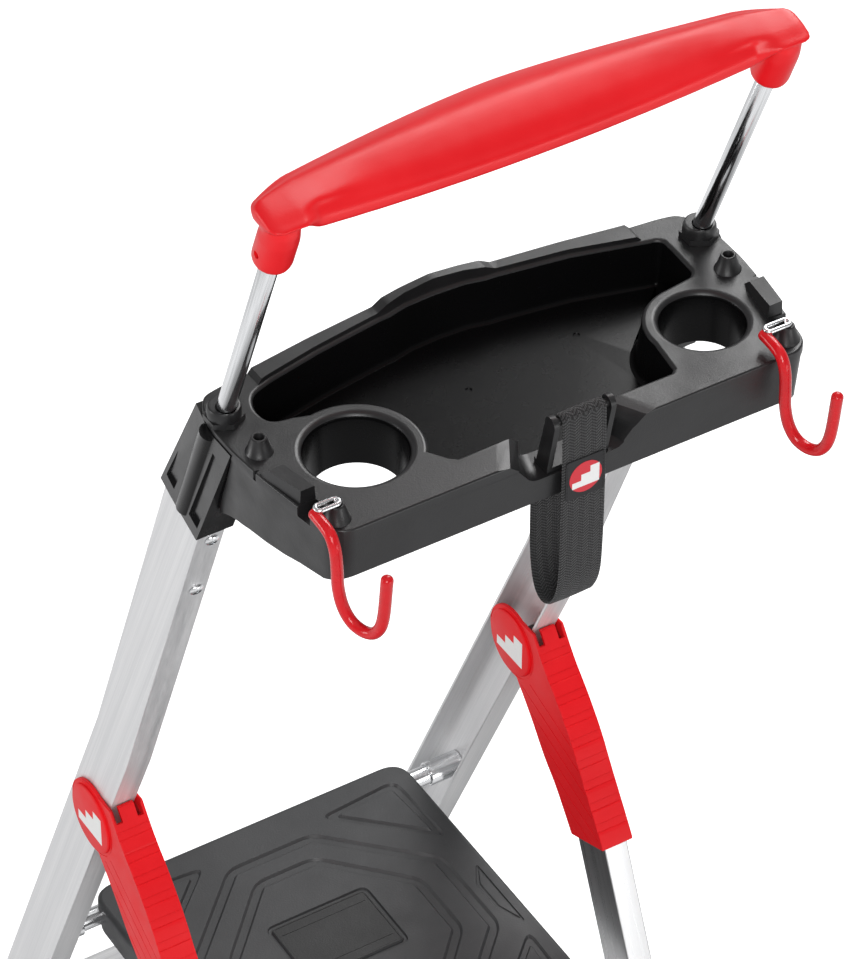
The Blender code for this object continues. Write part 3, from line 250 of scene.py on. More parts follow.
M = {
    "tray": moulded("black_moulding", (0.010, 0.010, 0.0105), (0.016, 0.016, 0.017), 0.38),
    # basin: a smoother, less specular finish whose darker base colour is painted shade for the recessed basin
    # and cups
    "basin": moulded(
        "black_basin_painted_shade",
        (0.0030, 0.0030, 0.0032),
        (0.0042, 0.0042, 0.0045),
        0.27,
        depth=0.00003,
        specular=0.10,
        spread=0.01,
    ),
    "cap": moulded("black_cap", (0.0060, 0.0060, 0.0064), (0.0100, 0.0100, 0.0105), 0.24, depth=0.00003),
    "plate": moulded("black_plate", (0.0060, 0.0060, 0.0064), (0.0110, 0.0110, 0.0115), 0.45, 700.0, 0.00008),
    "platform": moulded(
        "grey_moulding", (0.032, 0.033, 0.035), (0.044, 0.045, 0.047), 0.50, 700.0, 0.0001, worn=0.25
    ),
    "grip": red_moulded("red_grip", 0.36),
    "cover": red_moulded("red_cover", 0.44, 0.22),
    "stile": brushed("brushed_upright", LOWER_LEAN, 0.72, 0.84, 0.48, metal=0.65),
    "leg": brushed("brushed_rear_leg", -REAR_LEAN, 0.50, 0.60, 0.30),
    "tread": brushed("brushed_tread", 0.0, 0.66, 0.80, 0.36, sideways=True),
    "brace": brushed("brushed_brace", -REAR_LEAN, 0.50, 0.60, 0.30, sideways=True),
    "post": drawn_tube("drawn_post", UPPER_LEAN),
    "tube": drawn_tube("drawn_cross_tube", 0.0, 0.20, (12, 600, 600), (14, 120, 120)),
    "screw": drawn_tube("plated_screw", 0.0, 0.20),
    "pin": drawn_tube("plated_pin", 0.0, 0.25),
    "bush": moulded("grey_bush", (0.06, 0.06, 0.06), (0.08, 0.08, 0.08), 0.5),
    "foot": rubber("foot_rubber"),
    "hook": dipped("dipped_red"),
    "strap": webbing("herringbone_webbing"),
    "patch": moulded("woven_label", (0.012, 0.012, 0.013), (0.022, 0.022, 0.024), 0.7, 1600.0, 0.0001),
    "print_red": printed("label_red", (0.60, 0.020, 0.035)),
    "print_white": printed("label_white", (0.80, 0.80, 0.79)),
    "bare": drawn_tube("bare_wire", 0.0, 0.18),
}


# ---------------------------------------------------------------- mesh tools


def add_object(name, bm, slot=None, sharp=40.0):
    bmesh.ops.remove_doubles(bm, verts=bm.verts, dist=1e-7)
    bmesh.ops.recalc_face_normals(bm, faces=bm.faces)
    mesh = bpy.data.meshes.new(name)
    bm.to_mesh(mesh)
    bm.free()
    mesh.shade_smooth()
    mesh.set_sharp_from_angle(angle=math.radians(sharp))
    if slot:
        mesh.materials.append(M[slot])
    made = bpy.data.objects.new(name, mesh)
    bpy.context.scene.collection.objects.link(made)
    return made


def settle(made, sharp=40.0):
    """Applies the modifiers and removes the objects they used; with sharp None the normals are kept."""
    used = [m.object for m in made.modifiers if m.type == "BOOLEAN"]
    graph = bpy.context.evaluated_depsgraph_get()
    graph.update()
    mesh = bpy.data.meshes.new_from_object(made.evaluated_get(graph))
    made.modifiers.clear()
    old = made.data
    made.data = mesh
    bpy.data.meshes.remove(old)
    for other in used:
        bpy.data.objects.remove(other, do_unlink=True)
    if sharp is not None:
        mesh.shade_smooth()
        mesh.set_sharp_from_angle(angle=math.radians(sharp))


def boolean(target, bm, operation="DIFFERENCE"):
    other = add_object("tool", bm)
    modifier = target.modifiers.new("shape", "BOOLEAN")
    modifier.operation = operation
    modifier.solver = "EXACT"
    modifier.object = other


def soften(made, width, segments=2, angle=28.0):
    """Rounds the edges for real, then shades the flat faces flat."""
    weld = made.modifiers.new("join", "WELD")
    weld.merge_threshold = 0.00003
    bevel = made.modifiers.new("round", "BEVEL")
    bevel.width = width
    bevel.segments = segments
    bevel.limit_method = "ANGLE"
    bevel.angle_limit = math.radians(angle)
    bevel.miter_outer = "MITER_ARC"
    bevel.use_clamp_overlap = True
    weighted = made.modifiers.new("flat", "WEIGHTED_NORMAL")
    weighted.keep_sharp = False


def paint(made, *slots):
    made.data.materials.clear()
    for slot in slots:
        made.data.materials.append(M[slot])


def loft(rings, closed_path=False):
    """A skin through rings of points, with a flat face at each end unless the path is closed."""
    bm = bmesh.new()
    rows = [[bm.verts.new(point) for point in ring] for ring in rings]
    pairs = list(zip(rows, rows[1:]))
    if closed_path:
        pairs.append((rows[-1], rows[0]))
    for low, high in pairs:
        count = len(low)
        for index in range(count):
            after = (index + 1) % count
            bm.faces.new((low[index], low[after], high[after], high[index]))
    if not closed_path:
        bm.faces.new(rows[0])
        bm.faces.new(rows[-1])
    return bm


def prism_z(outline, low, high):
    """A world (x, y) outline carried up from low to high."""
    return loft([[(x, y, z) for x, y in outline] for z in (low, high)])


def rectangle(x_low, x_high, y_low, y_high):
    return [(x_low, y_low), (x_high, y_low), (x_high, y_high), (x_low, y_high)]


def slab(outline, low, high):
    """A (y, z) outline, from where a post meets the tray, carried along X from low to high."""
    return loft([[(x, *at(*point)) for point in outline] for x in (low, high)])


def block(outline, low, high):
    """An (x, y) outline carried up from low to high, all from where a post meets the tray."""
    return loft([lowered(outline, z) for z in (low, high)])


def lowered(outline, z):
    return [(x, *at(y, z)) for x, y in outline]


def arc(centre, radius, start, end, count):
    """Points on an arc from one angle to another, in degrees."""
    return [
        (
            centre[0] + radius * math.cos(math.radians(start + (end - start) * step / count)),
            centre[1] + radius * math.sin(math.radians(start + (end - start) * step / count)),
        )
        for step in range(count + 1)
    ]


def circle(radius, count, centre=(0.0, 0.0)):
    return arc(centre, radius, 0.0, 360.0 - 360.0 / count, count - 1)


def spline(points, per_span, closed=False):
    """Points on a Catmull-Rom curve through the points given."""
    array = [np.array(point, float) for point in points]
    if closed:
        array = [array[-1]] + array + array[:2]
    else:
        array = [2 * array[0] - array[1]] + array + [2 * array[-1] - array[-2]]
    result = []
    for a, b, c, d in zip(array, array[1:], array[2:], array[3:]):
        square = 2 * a - 5 * b + 4 * c - d
        cube = 3 * b - a - 3 * c + d
        for step in range(per_span):
            t = step / per_span
            result.append(0.5 * (2 * b + (c - a) * t + square * t**2 + cube * t**3))
    if not closed:
        result.append(array[-2])
    return result


def rounded(points, radius, count=5):
    """A closed outline with its corners rounded."""
    result = []
    size = len(points)
    for index, corner in enumerate(points):
        here = np.array(corner)
        before = np.array(points[index - 1])
        after = np.array(points[(index + 1) % size])
        cut_in = min(radius, np.linalg.norm(before - here) * 0.49)
        cut_out = min(radius, np.linalg.norm(after - here) * 0.49)
        first = here + (before - here) / np.linalg.norm(before - here) * cut_in
        last = here + (after - here) / np.linalg.norm(after - here) * cut_out
        for step in range(count + 1):
            share = step / count
            result.append(tuple((1 - share) ** 2 * first + 2 * share * (1 - share) * here + share**2 * last))
    return result


def offset(points, distance):
    """A closed outline moved outwards; it runs anticlockwise."""
    result = []
    size = len(points)
    for index, corner in enumerate(points):
        here = np.array(corner)
        into = here - np.array(points[index - 1])
        out = np.array(points[(index + 1) % size]) - here
        normals = [np.array((side[1], -side[0])) / max(np.linalg.norm(side), 1e-9) for side in (into, out)]
        mean = normals[0] + normals[1]
        mean /= np.linalg.norm(mean)
        reach = distance / max(float(mean @ normals[0]), 0.5)
        result.append(tuple(here + mean * reach))
    return result


def turned(profile, start, along, count=48):
    """A turned piece from (distance, radius) pairs along a line."""
    along = np.array(along, float) / np.linalg.norm(along)
    side = np.cross(along, (1.0, 0.0, 0.0))
    if np.linalg.norm(side) < 0.1:
        side = np.cross(along, (0.0, 1.0, 0.0))
    side /= np.linalg.norm(side)
    other = np.cross(along, side)
    rings = []
    for distance, radius in profile:
        centre = np.array(start) + along * distance
        rings.append([tuple(centre + side * u + other * v) for u, v in circle(radius, count)])
    return loft(rings)


def sweep(path, radius, count, closed=False, round_ends=False):
    """A round bar along a path; its ends are domes if asked."""
    points = [np.array(point) for point in path]
    radii = [radius] * len(points)
    if round_ends:
        steps = 5
        head = points[0] - points[1]
        head /= np.linalg.norm(head)
        tail = points[-1] - points[-2]
        tail /= np.linalg.norm(tail)
        first = points[0]
        last = points[-1]
        for step in range(1, steps + 1):
            angle = math.pi / 2 * step / (steps + 0.3)
            points.insert(0, first + head * radius * math.sin(angle) * 0.8)
            points.append(last + tail * radius * math.sin(angle) * 0.8)
            radii.insert(0, radius * math.cos(angle))
            radii.append(radius * math.cos(angle))
    rings = []
    side = None
    size = len(points)
    for index, point in enumerate(points):
        before = points[index - 1] if closed or index else points[0]
        after = points[(index + 1) % size] if closed or index < size - 1 else points[-1]
        along = (after - before) / np.linalg.norm(after - before)
        if side is None:
            side = np.cross(along, (0.3, 0.2, 1.0))
        side = side - along * float(side @ along)
        side /= np.linalg.norm(side)
        other = np.cross(along, side)
        rings.append([tuple(point + side * u + other * v) for u, v in circle(radii[index], count)])
    return loft(rings, closed_path=closed)


def stand_for(made, body, slot, *nodes):
    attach(made, body)
    if nodes:
        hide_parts(*nodes)


# ---------------------------------------------------------------- camera, floor and light


def add_camera():
    data = bpy.data.cameras.new("camera")
    data.lens = CAMERA_LENS
    data.sensor_width = 36.0
    data.clip_end = 60.0
    camera = bpy.data.objects.new("camera", data)
    camera.location = CAMERA_PLACE
    camera.rotation_euler = Vector(CAMERA_LOOK).to_track_quat("-Z", "Y").to_euler()
    bpy.context.scene.collection.objects.link(camera)
    bpy.context.scene.camera = camera


def add_light(name, place, aim, size, power, size_y=None):
    data = bpy.data.lights.new(name, "AREA")
    data.energy = power
    data.size = size
    if size_y:
        data.shape = "RECTANGLE"
        data.size_y = size_y
    light = bpy.data.objects.new(name, data)
    light.location = place
    light.rotation_euler = (Vector(aim) - Vector(place)).to_track_quat("-Z", "Y").to_euler()
    bpy.context.scene.collection.objects.link(light)


def add_world():
    """A soft studio: light above, a pale band just below level and darker straight down."""
    scene = bpy.context.scene
    world = scene.world or bpy.data.worlds.new("world")
    scene.world = world
    world.use_nodes = True
    tree = world.node_tree
    background = tree.nodes["Background"]
    where = tree.nodes.new("ShaderNodeTexCoord")
    parts = tree.nodes.new("ShaderNodeSeparateXYZ")
    tree.links.new(where.outputs["Generated"], parts.inputs["Vector"])
    level = tree.nodes.new("ShaderNodeMapRange")
    level.inputs["From Min"].default_value = -1.0
    level.inputs["From Max"].default_value = 1.0
    tree.links.new(parts.outputs["Z"], level.inputs["Value"])
    ramp = tree.nodes.new("ShaderNodeValToRGB")
    stops = (
        (0.0, 0.22),
        (0.045, 0.30),
        (0.10, 0.70),
        (0.17, 0.95),
        (0.26, 0.90),
        (0.36, 0.66),
        (0.50, 0.72),
        (0.60, 0.34),
        (0.80, 0.24),
        (1.0, 0.60),
    )
    for element, (position, value) in zip(ramp.color_ramp.elements, (stops[0], stops[-1])):
        element.position = position
        element.color = (value,) * 3 + (1,)
    for position, value in stops[1:-1]:
        element = ramp.color_ramp.elements.new(position)
        element.color = (value, value, value * 1.01, 1)
    tree.links.new(level.outputs["Result"], ramp.inputs["Fac"])
    tree.links.new(ramp.outputs["Color"], background.inputs["Color"])
    background.inputs["Strength"].default_value = 0.95


def add_floor():
    floor_material = bpy.data.materials.new("pale_floor")
    floor_material.use_nodes = True
    shader = floor_material.node_tree.nodes["Principled BSDF"]
    shader.inputs["Base Color"].default_value = (0.90, 0.90, 0.90, 1)
    shader.inputs["Roughness"].default_value = 0.9
    shader.inputs["Emission Color"].default_value = (1, 1, 1, 1)
    shader.inputs["Emission Strength"].default_value = 0.72
    floor = add_object("floor", prism_z(rectangle(-80, 80, -80, 80), -0.02, 0.0))
    floor.data.materials.append(floor_material)
    floor.visible_glossy = False
    floor.visible_diffuse = False


def add_studio():
    add_floor()
    add_world()
    bpy.context.scene.view_settings.view_transform = "Standard"
    aim = (0, COLLAR_Y, 1.35)
    add_light("key", (-1.6, -1.0, 3.1), aim, 1.1, 42, size_y=1.5)
    add_light("front", (1.7, 2.7, 3.4), aim, 1.5, 66)
    add_light("low", (-1.2, 3.4, 1.2), (-0.1, 0.3, 0.9), 1.4, 18)
    add_light("side", (2.2, -0.9, 1.7), (-0.15, 0.12, 1.30), 0.8, 12)


# ---------------------------------------------------------------- grip


GRIP_HALF = 0.1670
GRIP_SOCKET = [(0.1655, 0.0100), (0.1665, 0.0112), (0.1690, 0.0117)]
GRIP_SOCKET += [(0.1900, 0.0117), (0.1990, 0.0105), (0.2030, 0.0080)]


def eased(value):
    """Smooth step from 0 to 1."""
    value = min(max(value, 0.0), 1.0)
    return value * value * (3 - 2 * value)


def grip_curve(x):
    """Closed (y, z) section of the grip at this x: a domed top, a crease, and a lip along the near side."""
    share = min(abs(x) / 0.150, 1.0)
    round_off = 0.0100 * min(max((abs(x) - 0.1460) / 0.0220, 0.0), 1.0) ** 1.3
    lift = eased((abs(x) - 0.1380) / 0.0140)
    far = 0.0215 + 0.0245 * share**1.7 + round_off
    far_z = 0.1840 + 0.0085 * share**2
    crest = 0.1945 + 0.0020 * share**2
    low_z = 0.1700 + 0.0070 * share**2
    near = 0.0780 + 0.0080 * lift
    shoulder = 0.0660 + 0.0080 * eased((abs(x) - 0.0950) / 0.0560)
    lip_z = low_z + 0.0100 * lift
    crease_z = low_z + 0.0122 + 0.0020 * share**3
    points = [
        (near - 0.0042, crease_z),
        (shoulder, crease_z + (crest - crease_z) * 0.55),
        (far + (0.0660 - far) * 0.55, crest),
        (far + 0.006, far_z + (crest - far_z) * 0.55),
        (far, far_z),
        (far + 0.003, far_z - 0.007),
        (far + (0.0700 - far) * 0.40, low_z + 0.0035 + 0.0040 * lift),
        (near - 0.0120, lip_z - 0.0020 * lift),
        (near - 0.0020, lip_z + 0.0006),
        (near + 0.0004, lip_z + 0.0050 * (1 - 0.60 * lift)),
        (near - 0.0006, lip_z + 0.0098 * (1 - 0.68 * lift)),
    ]
    return spline(points, 5, closed=True)


def grip_rings():
    """Sections along the grip, and at each end a few smaller ones that round it off."""
    steps = 60
    rings = []
    for step in range(steps + 1):
        x = -GRIP_HALF + 2 * GRIP_HALF * step / steps
        rings.append([(x, *at(*point)) for point in grip_curve(x)])
    last = grip_curve(GRIP_HALF)
    middle = np.mean(np.array(last), axis=0)
    for grow, factor in ((0.0022, 0.93), (0.0042, 0.78), (0.0052, 0.52)):
        places = [at(*(middle + (point - middle) * factor)) for point in last]
        rings.append([(GRIP_HALF + grow, *place) for place in places])
        rings.insert(0, [(-GRIP_HALF - grow, *place) for place in places])
    return rings


def build_grip():
    made = add_object("grip_moulding", loft(grip_rings()))
    up = direction(UPPER_LEAN)
    for side, _ in SIDES:
        boolean(made, turned(GRIP_SOCKET, (side * POST_X, *at(0, 0)), (0, *up)), "UNION")
    settle(made)
    remesh = made.modifiers.new("even", "REMESH")
    remesh.mode = "VOXEL"
    remesh.voxel_size = 0.0013
    smooth = made.modifiers.new("ease", "SMOOTH")
    smooth.factor = 0.6
    smooth.iterations = 7
    settle(made)
    for side, _ in SIDES:
        bore = [(0.10, 0.0060), (0.196, 0.0060)]
        boolean(made, turned(bore, (side * POST_X, *at(0, 0)), (0, *up), 40))
        centre = np.array(at(0, 0)) + up * 0.1765
        screw_hole = [(0, 0.0024), (0.02, 0.0024)]
        boolean(made, turned(screw_hole, (side * 0.1665, *centre), (side, 0, 0), 28))
    settle(made, 50)
    paint(made, "grip")
    stand_for(made, "front_frame", "grip", "grip")


# ---------------------------------------------------------------- tray

CUPS = ((0.110, 0.062, 0.033), (-0.118, 0.068, 0.028))
PEGS = ((0.157, 0.036), (-0.157, 0.036), (0.149, 0.107), (-0.149, 0.107))


def tray_outline(grow=0.0):
    right_half = [
        (0.0, -0.0415),
        (0.020, -0.0410),
        (0.033, -0.0395),
        (0.0400, -0.0387),
        (0.085, -0.0335),
        (0.127, -0.0270),
        (0.148, -0.0250),
        (0.1600, -0.0225),
        (0.1660, -0.0140),
        (0.1705, 0.006),
        (0.1705, 0.030),
        (0.1680, 0.055),
        (0.1640, 0.080),
        (0.1605, 0.100),
        (0.1585, 0.1110),
        (0.1545, 0.1165),
        (0.1480, 0.1200),
    ]
    left_half = [(-x, y) for x, y in reversed(right_half[1:])]
    points = right_half + left_half
    return rounded(offset(points, grow) if grow else points, 0.004, 3)


def basin_outline():
    points = [(0.0, -0.0345), (0.020, -0.0335), (0.033, -0.0305), (0.040, -0.0300), (0.085, -0.0230)]
    corner = [(0.120, -0.0155), (0.1320, -0.0115), (0.1378, -0.0070), (0.1412, 0.0000), (0.1420, 0.0080)]
    corner += [(0.1402, 0.0150), (0.1350, 0.0188), (0.1270, 0.0203)]
    points += spline(corner, 3)
    points += arc((0.110, 0.062), 0.039, -80, -215, 30)
    points += [(0.0700, 0.0960), (0.0660, 0.0990), (0.0, 0.0990), (-0.0770, 0.0990), (-0.0805, 0.0960)]
    points += arc((-0.118, 0.068), 0.034, 4, -85, 22)
    points += arc((-0.1310, 0.0235), 0.0085, 110, 180, 6)
    points += [(-0.1405, 0.004)]
    points += arc((-0.1330, -0.0020), 0.0080, 200, 270, 6)
    points += [(-0.085, -0.0230), (-0.040, -0.0300), (-0.033, -0.0305), (-0.020, -0.0335)]
    return points


def rim_rings(x_low, x_high, top_low, top_high, steps):
    outer = np.array(sorted((x, y) for x, y in tray_outline() if y < -0.02))
    inner = np.array(sorted((x, y) for x, y in basin_outline() if y < -0.005))
    rings = []
    for step in range(steps + 1):
        share = step / steps
        x = x_low + (x_high - x_low) * share
        y_out = float(np.interp(x, outer[:, 0], outer[:, 1]))
        y_in = float(np.interp(x, inner[:, 0], inner[:, 1]))
        top = top_low + (top_high - top_low) * share
        ring = [(y_out, -0.004), (y_out + 0.0004, top), (y_in - 0.0004, top), (y_in - 0.0003, -0.004)]
        rings.append([(x, *at(y, z)) for y, z in ring])
    return rings


def tray_shell():
    rings = [lowered(tray_outline(-0.0048), -0.0712), lowered(tray_outline(-0.0030), -0.0357)]
    rings += [lowered(tray_outline(-0.0008), -0.0090), lowered(tray_outline(0.0), -0.0060)]
    for angle in (0, 30, 60, 90):
        turn = math.radians(angle)
        rings.append(lowered(tray_outline(0.0014 * (math.cos(turn) - 1)), 0.0014 * (math.sin(turn) - 1)))
    made = add_object("tray_moulding", loft(rings))
    rim = []
    spans = ((-0.1290, -0.1262, 0.0, 0.0028, 3), (-0.1262, -0.0400, 0.0028, 0.0028, 16))
    spans += ((-0.0400, -0.0330, 0.0028, 0.0062, 4), (-0.0330, 0.0, 0.0062, 0.0087, 10))
    for low, high, first, last, steps in spans:
        part = rim_rings(low, high, first, last, steps)
        rim += part if not rim else part[1:]
    mirrored = [[(-x, y, z) for x, y, z in ring] for ring in reversed(rim[:-1])]
    boolean(made, loft(rim + mirrored), "UNION")
    slope = [(0.1300, -0.0362), (0.1175, -0.0368), (0.1040, -0.0430), (0.0840, -0.0455), (0.0700, -0.0485)]
    slope += [(0.0380, -0.0525), (0.0260, -0.0550), (0.0180, -0.0578), (0.0110, -0.0610)]
    middle = [(0.0060, -0.0640), (0.0030, -0.0346), (-0.0600, -0.0338), (-0.0600, -0.0900), (0.1300, -0.0900)]
    boolean(made, slab(slope + middle, -0.1560, 0.1560))
    tail = [(0.0051, -0.0648), (0.0002, -0.0692), (-0.0030, -0.0740), (-0.0030, -0.0900), (0.1300, -0.0900)]
    for side, _ in SIDES:
        boolean(made, slab(slope + tail, side * 0.1550, side * 0.20))
    hollow = [lowered(tray_outline(-0.0079), -0.0721), lowered(tray_outline(-0.0059), -0.0347)]
    hollow += [lowered(tray_outline(-0.0036), -0.0093), lowered(tray_outline(-0.0033), -0.0030)]
    boolean(made, loft(hollow))
    basin = basin_outline()
    shell = [lowered(offset(basin, -0.0030), -0.0340), lowered(offset(basin, 0.0018), -0.0030)]
    shell.append(lowered(offset(basin, 0.0024), -0.0010))
    boolean(made, loft(shell), "UNION")
    for x, y, radius in CUPS:
        profile = [(-0.0340, radius + 0.0008), (-0.001, radius + 0.003)]
        boolean(made, turned(profile, (x, *at(y, 0)), (0, 0, 1), 96), "UNION")
    return made


def rim_deck(side):
    """Thicker deck under the rim's wedge and under the recess behind it."""
    rings = []
    for y, low, high in ((0.0480, 0.1482, 0.1655), (0.0740, 0.1470, 0.1625), (0.1008, 0.1450, 0.1575)):
        corners = ((low, -0.0105), (high, -0.0105), (high, -0.0016), (low, -0.0016))
        rings.append([(side * x, *at(y, z)) for x, z in corners])
    return loft(rings)


def rim_wedge(side):
    """A ramp on the rim that rises towards the recess and ends in an upright face."""
    rings = []
    stations = ((0.0532, 0.1562, 0.1671, 0.0004), (0.0600, 0.1546, 0.1660, 0.0072))
    stations += ((0.0868, 0.1502, 0.1606, 0.0094),)
    for y, low, high, top in stations:
        corners = ((low, -0.0035), (high, -0.0035), (high - 0.0006, top), (low + 0.0010, top))
        rings.append([(side * x, *at(y, z)) for x, z in corners])
    return loft(rings)


def inside(point, outline):
    """Whether a point lies inside a closed outline."""
    x, y = point
    found = False
    for (x1, y1), (x2, y2) in zip(outline, outline[1:] + outline[:1]):
        if (y1 > y) != (y2 > y) and x < (x2 - x1) * (y - y1) / (y2 - y1) + x1:
            found = not found
    return found


def paint_basin_shade(mesh):
    """The basin's floor and sides, and the cups, are smoother than the deck and get a darker base colour,
    which is painted shade for the recess.
    """
    outline = offset(basin_outline(), 0.0006)
    for face in mesh.polygons:
        x, y, z = face.center
        y -= COLLAR_Y
        in_cup = any(math.hypot(x - cup_x, y - cup_y) < radius - 0.0022 for cup_x, cup_y, radius in CUPS)
        if -0.034 < z - COLLAR_Z < -0.0016 and (in_cup or inside((x, y), outline)):
            face.material_index = 1


def build_tray():
    made = tray_shell()
    ledge = []
    for y, wide, low in ((0.0900, 0.0370, 0.0230), (0.1180, 0.0570, 0.0320)):
        half = [(-low, -0.0240), (low, -0.0240), (wide, -0.0010), (-wide, -0.0010)]
        ledge.append([(x, *at(y, z)) for x, z in half])
    boolean(made, loft(ledge), "UNION")
    basin = basin_outline()
    rings = [lowered(offset(basin, -0.0072), -0.0310), lowered(offset(basin, -0.0058), -0.0306)]
    rings += [lowered(offset(basin, -0.0046), -0.0294), lowered(offset(basin, -0.0040), -0.0275)]
    rings += [lowered(offset(basin, -0.0012), -0.0045)]
    for angle in (15, 40, 65, 90):
        turn = math.radians(angle)
        rings.append(lowered(offset(basin, 0.0014 - 0.0026 * math.cos(turn)), 0.0026 * (math.sin(turn) - 1)))
    rings.append(lowered(offset(basin, 0.0014), 0.0200))
    boolean(made, loft(rings))
    for x, y, radius in CUPS:
        profile = [(-0.05, radius - 0.0058), (-0.0340, radius - 0.0056), (-0.0090, radius - 0.0034)]
        for angle in (0, 15, 30, 45, 60, 75, 90):
            turn = math.radians(angle)
            profile.append((0.0046 * (math.sin(turn) - 1), radius + 0.0016 - 0.0046 * math.cos(turn)))
        profile.append((0.010, radius + 0.0016))
        boolean(made, turned(profile, (x, *at(y, 0)), (0, 0, 1), 96))
    notch = []
    for y, wide, low in ((0.0925, 0.0340, 0.0210), (0.1232, 0.0520, 0.0300)):
        half = [(low - 0.004, -0.0200), (low, -0.0192), (low + 0.003, -0.0170)]
        half += [(wide - 0.011, -0.0060), (wide - 0.005, -0.0012), (wide + 0.004, 0.0), (wide + 0.012, 0.004)]
        ring = half + [(-x, z) for x, z in reversed(half)]
        notch.append([(x, *at(y, z)) for x, z in ring])
    boolean(made, loft(notch))
    for x, y in ((0.010, 0.020), (-0.070, 0.010)):
        pit = [(-0.0008, 0.0016), (0.0, 0.0022), (0.003, 0.0022)]
        boolean(made, turned(pit, (x, *at(y, -0.031)), (0, 0, 1), 20))
    slot_box = [(STRAP_X - 0.0165, 0.0960), (STRAP_X + 0.0165, 0.0960)]
    slot_box += [(STRAP_X + 0.0165, 0.0880), (STRAP_X - 0.0165, 0.0880)]
    boolean(made, block(slot_box, -0.040, -0.005))
    up = direction(UPPER_LEAN)
    across = np.array((up[1], -up[0]))
    low_rear = -up * 0.110 + across * 0.0242
    low_front_z = (-up * 0.110 - across * 0.0247)[1]
    for side, _ in SIDES:
        top = [(0.1476, -0.0600), (0.1800, -0.0600), (0.1800, 0.0286), (0.1476, 0.0286)]
        low = [(0.1476, -0.0900), (0.1800, -0.0900), (0.1800, low_rear[0]), (0.1476, low_rear[0])]
        depths = (low_front_z, low_front_z, low_rear[1], low_rear[1])
        room = [[(side * x, *at(y, -0.0030)) for x, y in top]]
        room.append([(side * x, *at(y, z)) for (x, y), z in zip(low, depths)])
        boolean(made, loft(room))
        boolean(made, rim_deck(side), "UNION")
        boolean(made, rim_wedge(side), "UNION")
        pocket = ((0.1505, 0.0874), (0.1760, 0.0874), (0.1760, 0.0980), (0.1490, 0.0980))
        boolean(made, block([(side * x, y) for x, y in pocket], -0.0075, 0.0150))
        nick = ((0.1650, 0.0500), (0.1760, 0.0465), (0.1760, 0.0545))
        boolean(made, block([(side * x, y) for x, y in nick], -0.006, 0.01))
    settle(made)
    soften(made, 0.0006, 2, 32)
    settle(made, None)
    # The second slot's darker base colour is painted shade in the basin and cups.
    paint(made, "tray", "basin")
    paint_basin_shade(made.data)
    stand_for(made, "front_frame", "tray", "tray")


def build_pegs():
    """Hollow pegs on the deck."""
    profile = [(-0.0006, 0.0084), (0.0006, 0.0081), (0.0016, 0.0072), (0.0088, 0.0050), (0.0100, 0.0046)]
    profile += [(0.0105, 0.0040), (0.0105, 0.0034), (0.0098, 0.0030), (0.0030, 0.0024), (0.0028, 0.0008)]
    for index, (x, y) in enumerate(PEGS):
        shape = turned(profile, (x, *at(y, 0)), (0, 0, 1), 40)
        stand_for(add_object("peg_%d" % index, shape, "tray", 30), "front_frame", "tray")


# ---------------------------------------------------------------- posts and collars


def build_posts():
    up = direction(UPPER_LEAN)
    for side, label in SIDES:
        start = np.array(at(0, 0)) - up * 0.130
        profile = [(0, 0.0050), (0.0006, 0.0056), (0.3194, 0.0056), (0.3200, 0.0050)]
        tube = turned(profile, (side * POST_X, *start), (0, *up), 56)
        post = add_object("post_tube_" + label, tube, "post", 50)
        stand_for(post, "front_frame", "post", "post_" + label)
        hexagon = arc((side * POST_X, at(0.0015, 0)[0]), 0.0120, 30, 330, 5)
        base = add_object("collar_base_" + label, prism_z(hexagon, COLLAR_Z + 0.0003, COLLAR_Z + 0.0040))
        profile = [(-0.002, 0.0102), (0.0058, 0.0102), (0.0090, 0.0099), (0.0104, 0.0092), (0.0108, 0.0082)]
        boolean(base, turned(profile, (side * POST_X, *at(0.0018, 0)), (0, 0, 1), 48), "UNION")
        low = np.array(at(0, 0)) - up * 0.02
        boolean(base, turned([(0, 0.0061), (0.05, 0.0061)], (side * POST_X, *low), (0, *up), 48))
        settle(base)
        soften(base, 0.0005, 2, 30)
        settle(base, None)
        paint(base, "tray")
        stand_for(base, "front_frame", "tray", "post_collar_" + label)


# ---------------------------------------------------------------- hooks

HOOK_STARTS = ((0.1625, 0.149, "left"), (-0.1340, -0.149, "right"))
LOOP_Z = 0.0124


def build_hooks():
    profile = [(0.1062, 0.0086), (0.1120, 0.0082), (0.1180, 0.0074), (0.1232, 0.0056), (0.1268, 0.0010)]
    profile += [(0.1284, -0.0060), (0.1290, -0.0160), (0.1295, -0.0280), (0.1325, -0.0400), (0.1385, -0.0480)]
    profile += [(0.1470, -0.0500), (0.1545, -0.0455), (0.1592, -0.0330), (0.1620, -0.0030)]
    for start_x, peg_x, label in HOOK_STARTS:
        path = []
        for y, z in profile:
            path.append((start_x - max(y - 0.1276, 0.0) * math.tan(math.radians(20)), *at(y, z)))
        bent = sweep(spline(path, 8), 0.0036, 32, round_ends=True)
        coat = add_object("hook_coat_" + label, bent, "hook", 60)
        stand_for(coat, label + "_hook", "hook", "hook_" + label)
        peg_y = 0.107
        near = arc((start_x - 0.003, peg_y), 0.0026, -90, 90, 14)
        far = arc((peg_x + 0.0012, peg_y), 0.0026, 90, 270, 14)
        ring = sweep([(x, *at(y, LOOP_Z)) for x, y in near + far], 0.0014, 20, closed=True)
        wire = add_object("hook_bare_" + label, ring, "bare", 60)
        stand_for(wire, label + "_hook", "pin", "hook_" + label)
        end = [(-0.0090, 0.0008), (-0.0084, 0.0012), (0.0, 0.0012)]
        pin = turned(end, (peg_x, *at(peg_y, LOOP_Z)), (0, 0, 1), 24)
        stem = add_object("hook_stem_" + label, pin, "bare", 40)
        stand_for(stem, label + "_hook", "pin", "hook_" + label)


# ---------------------------------------------------------------- strap

STRAP_X = -0.002
STRAP_WIDTH = 0.029
STRAP_THICK = 0.0016
BAR_YZ = (0.1185, 0.0175)


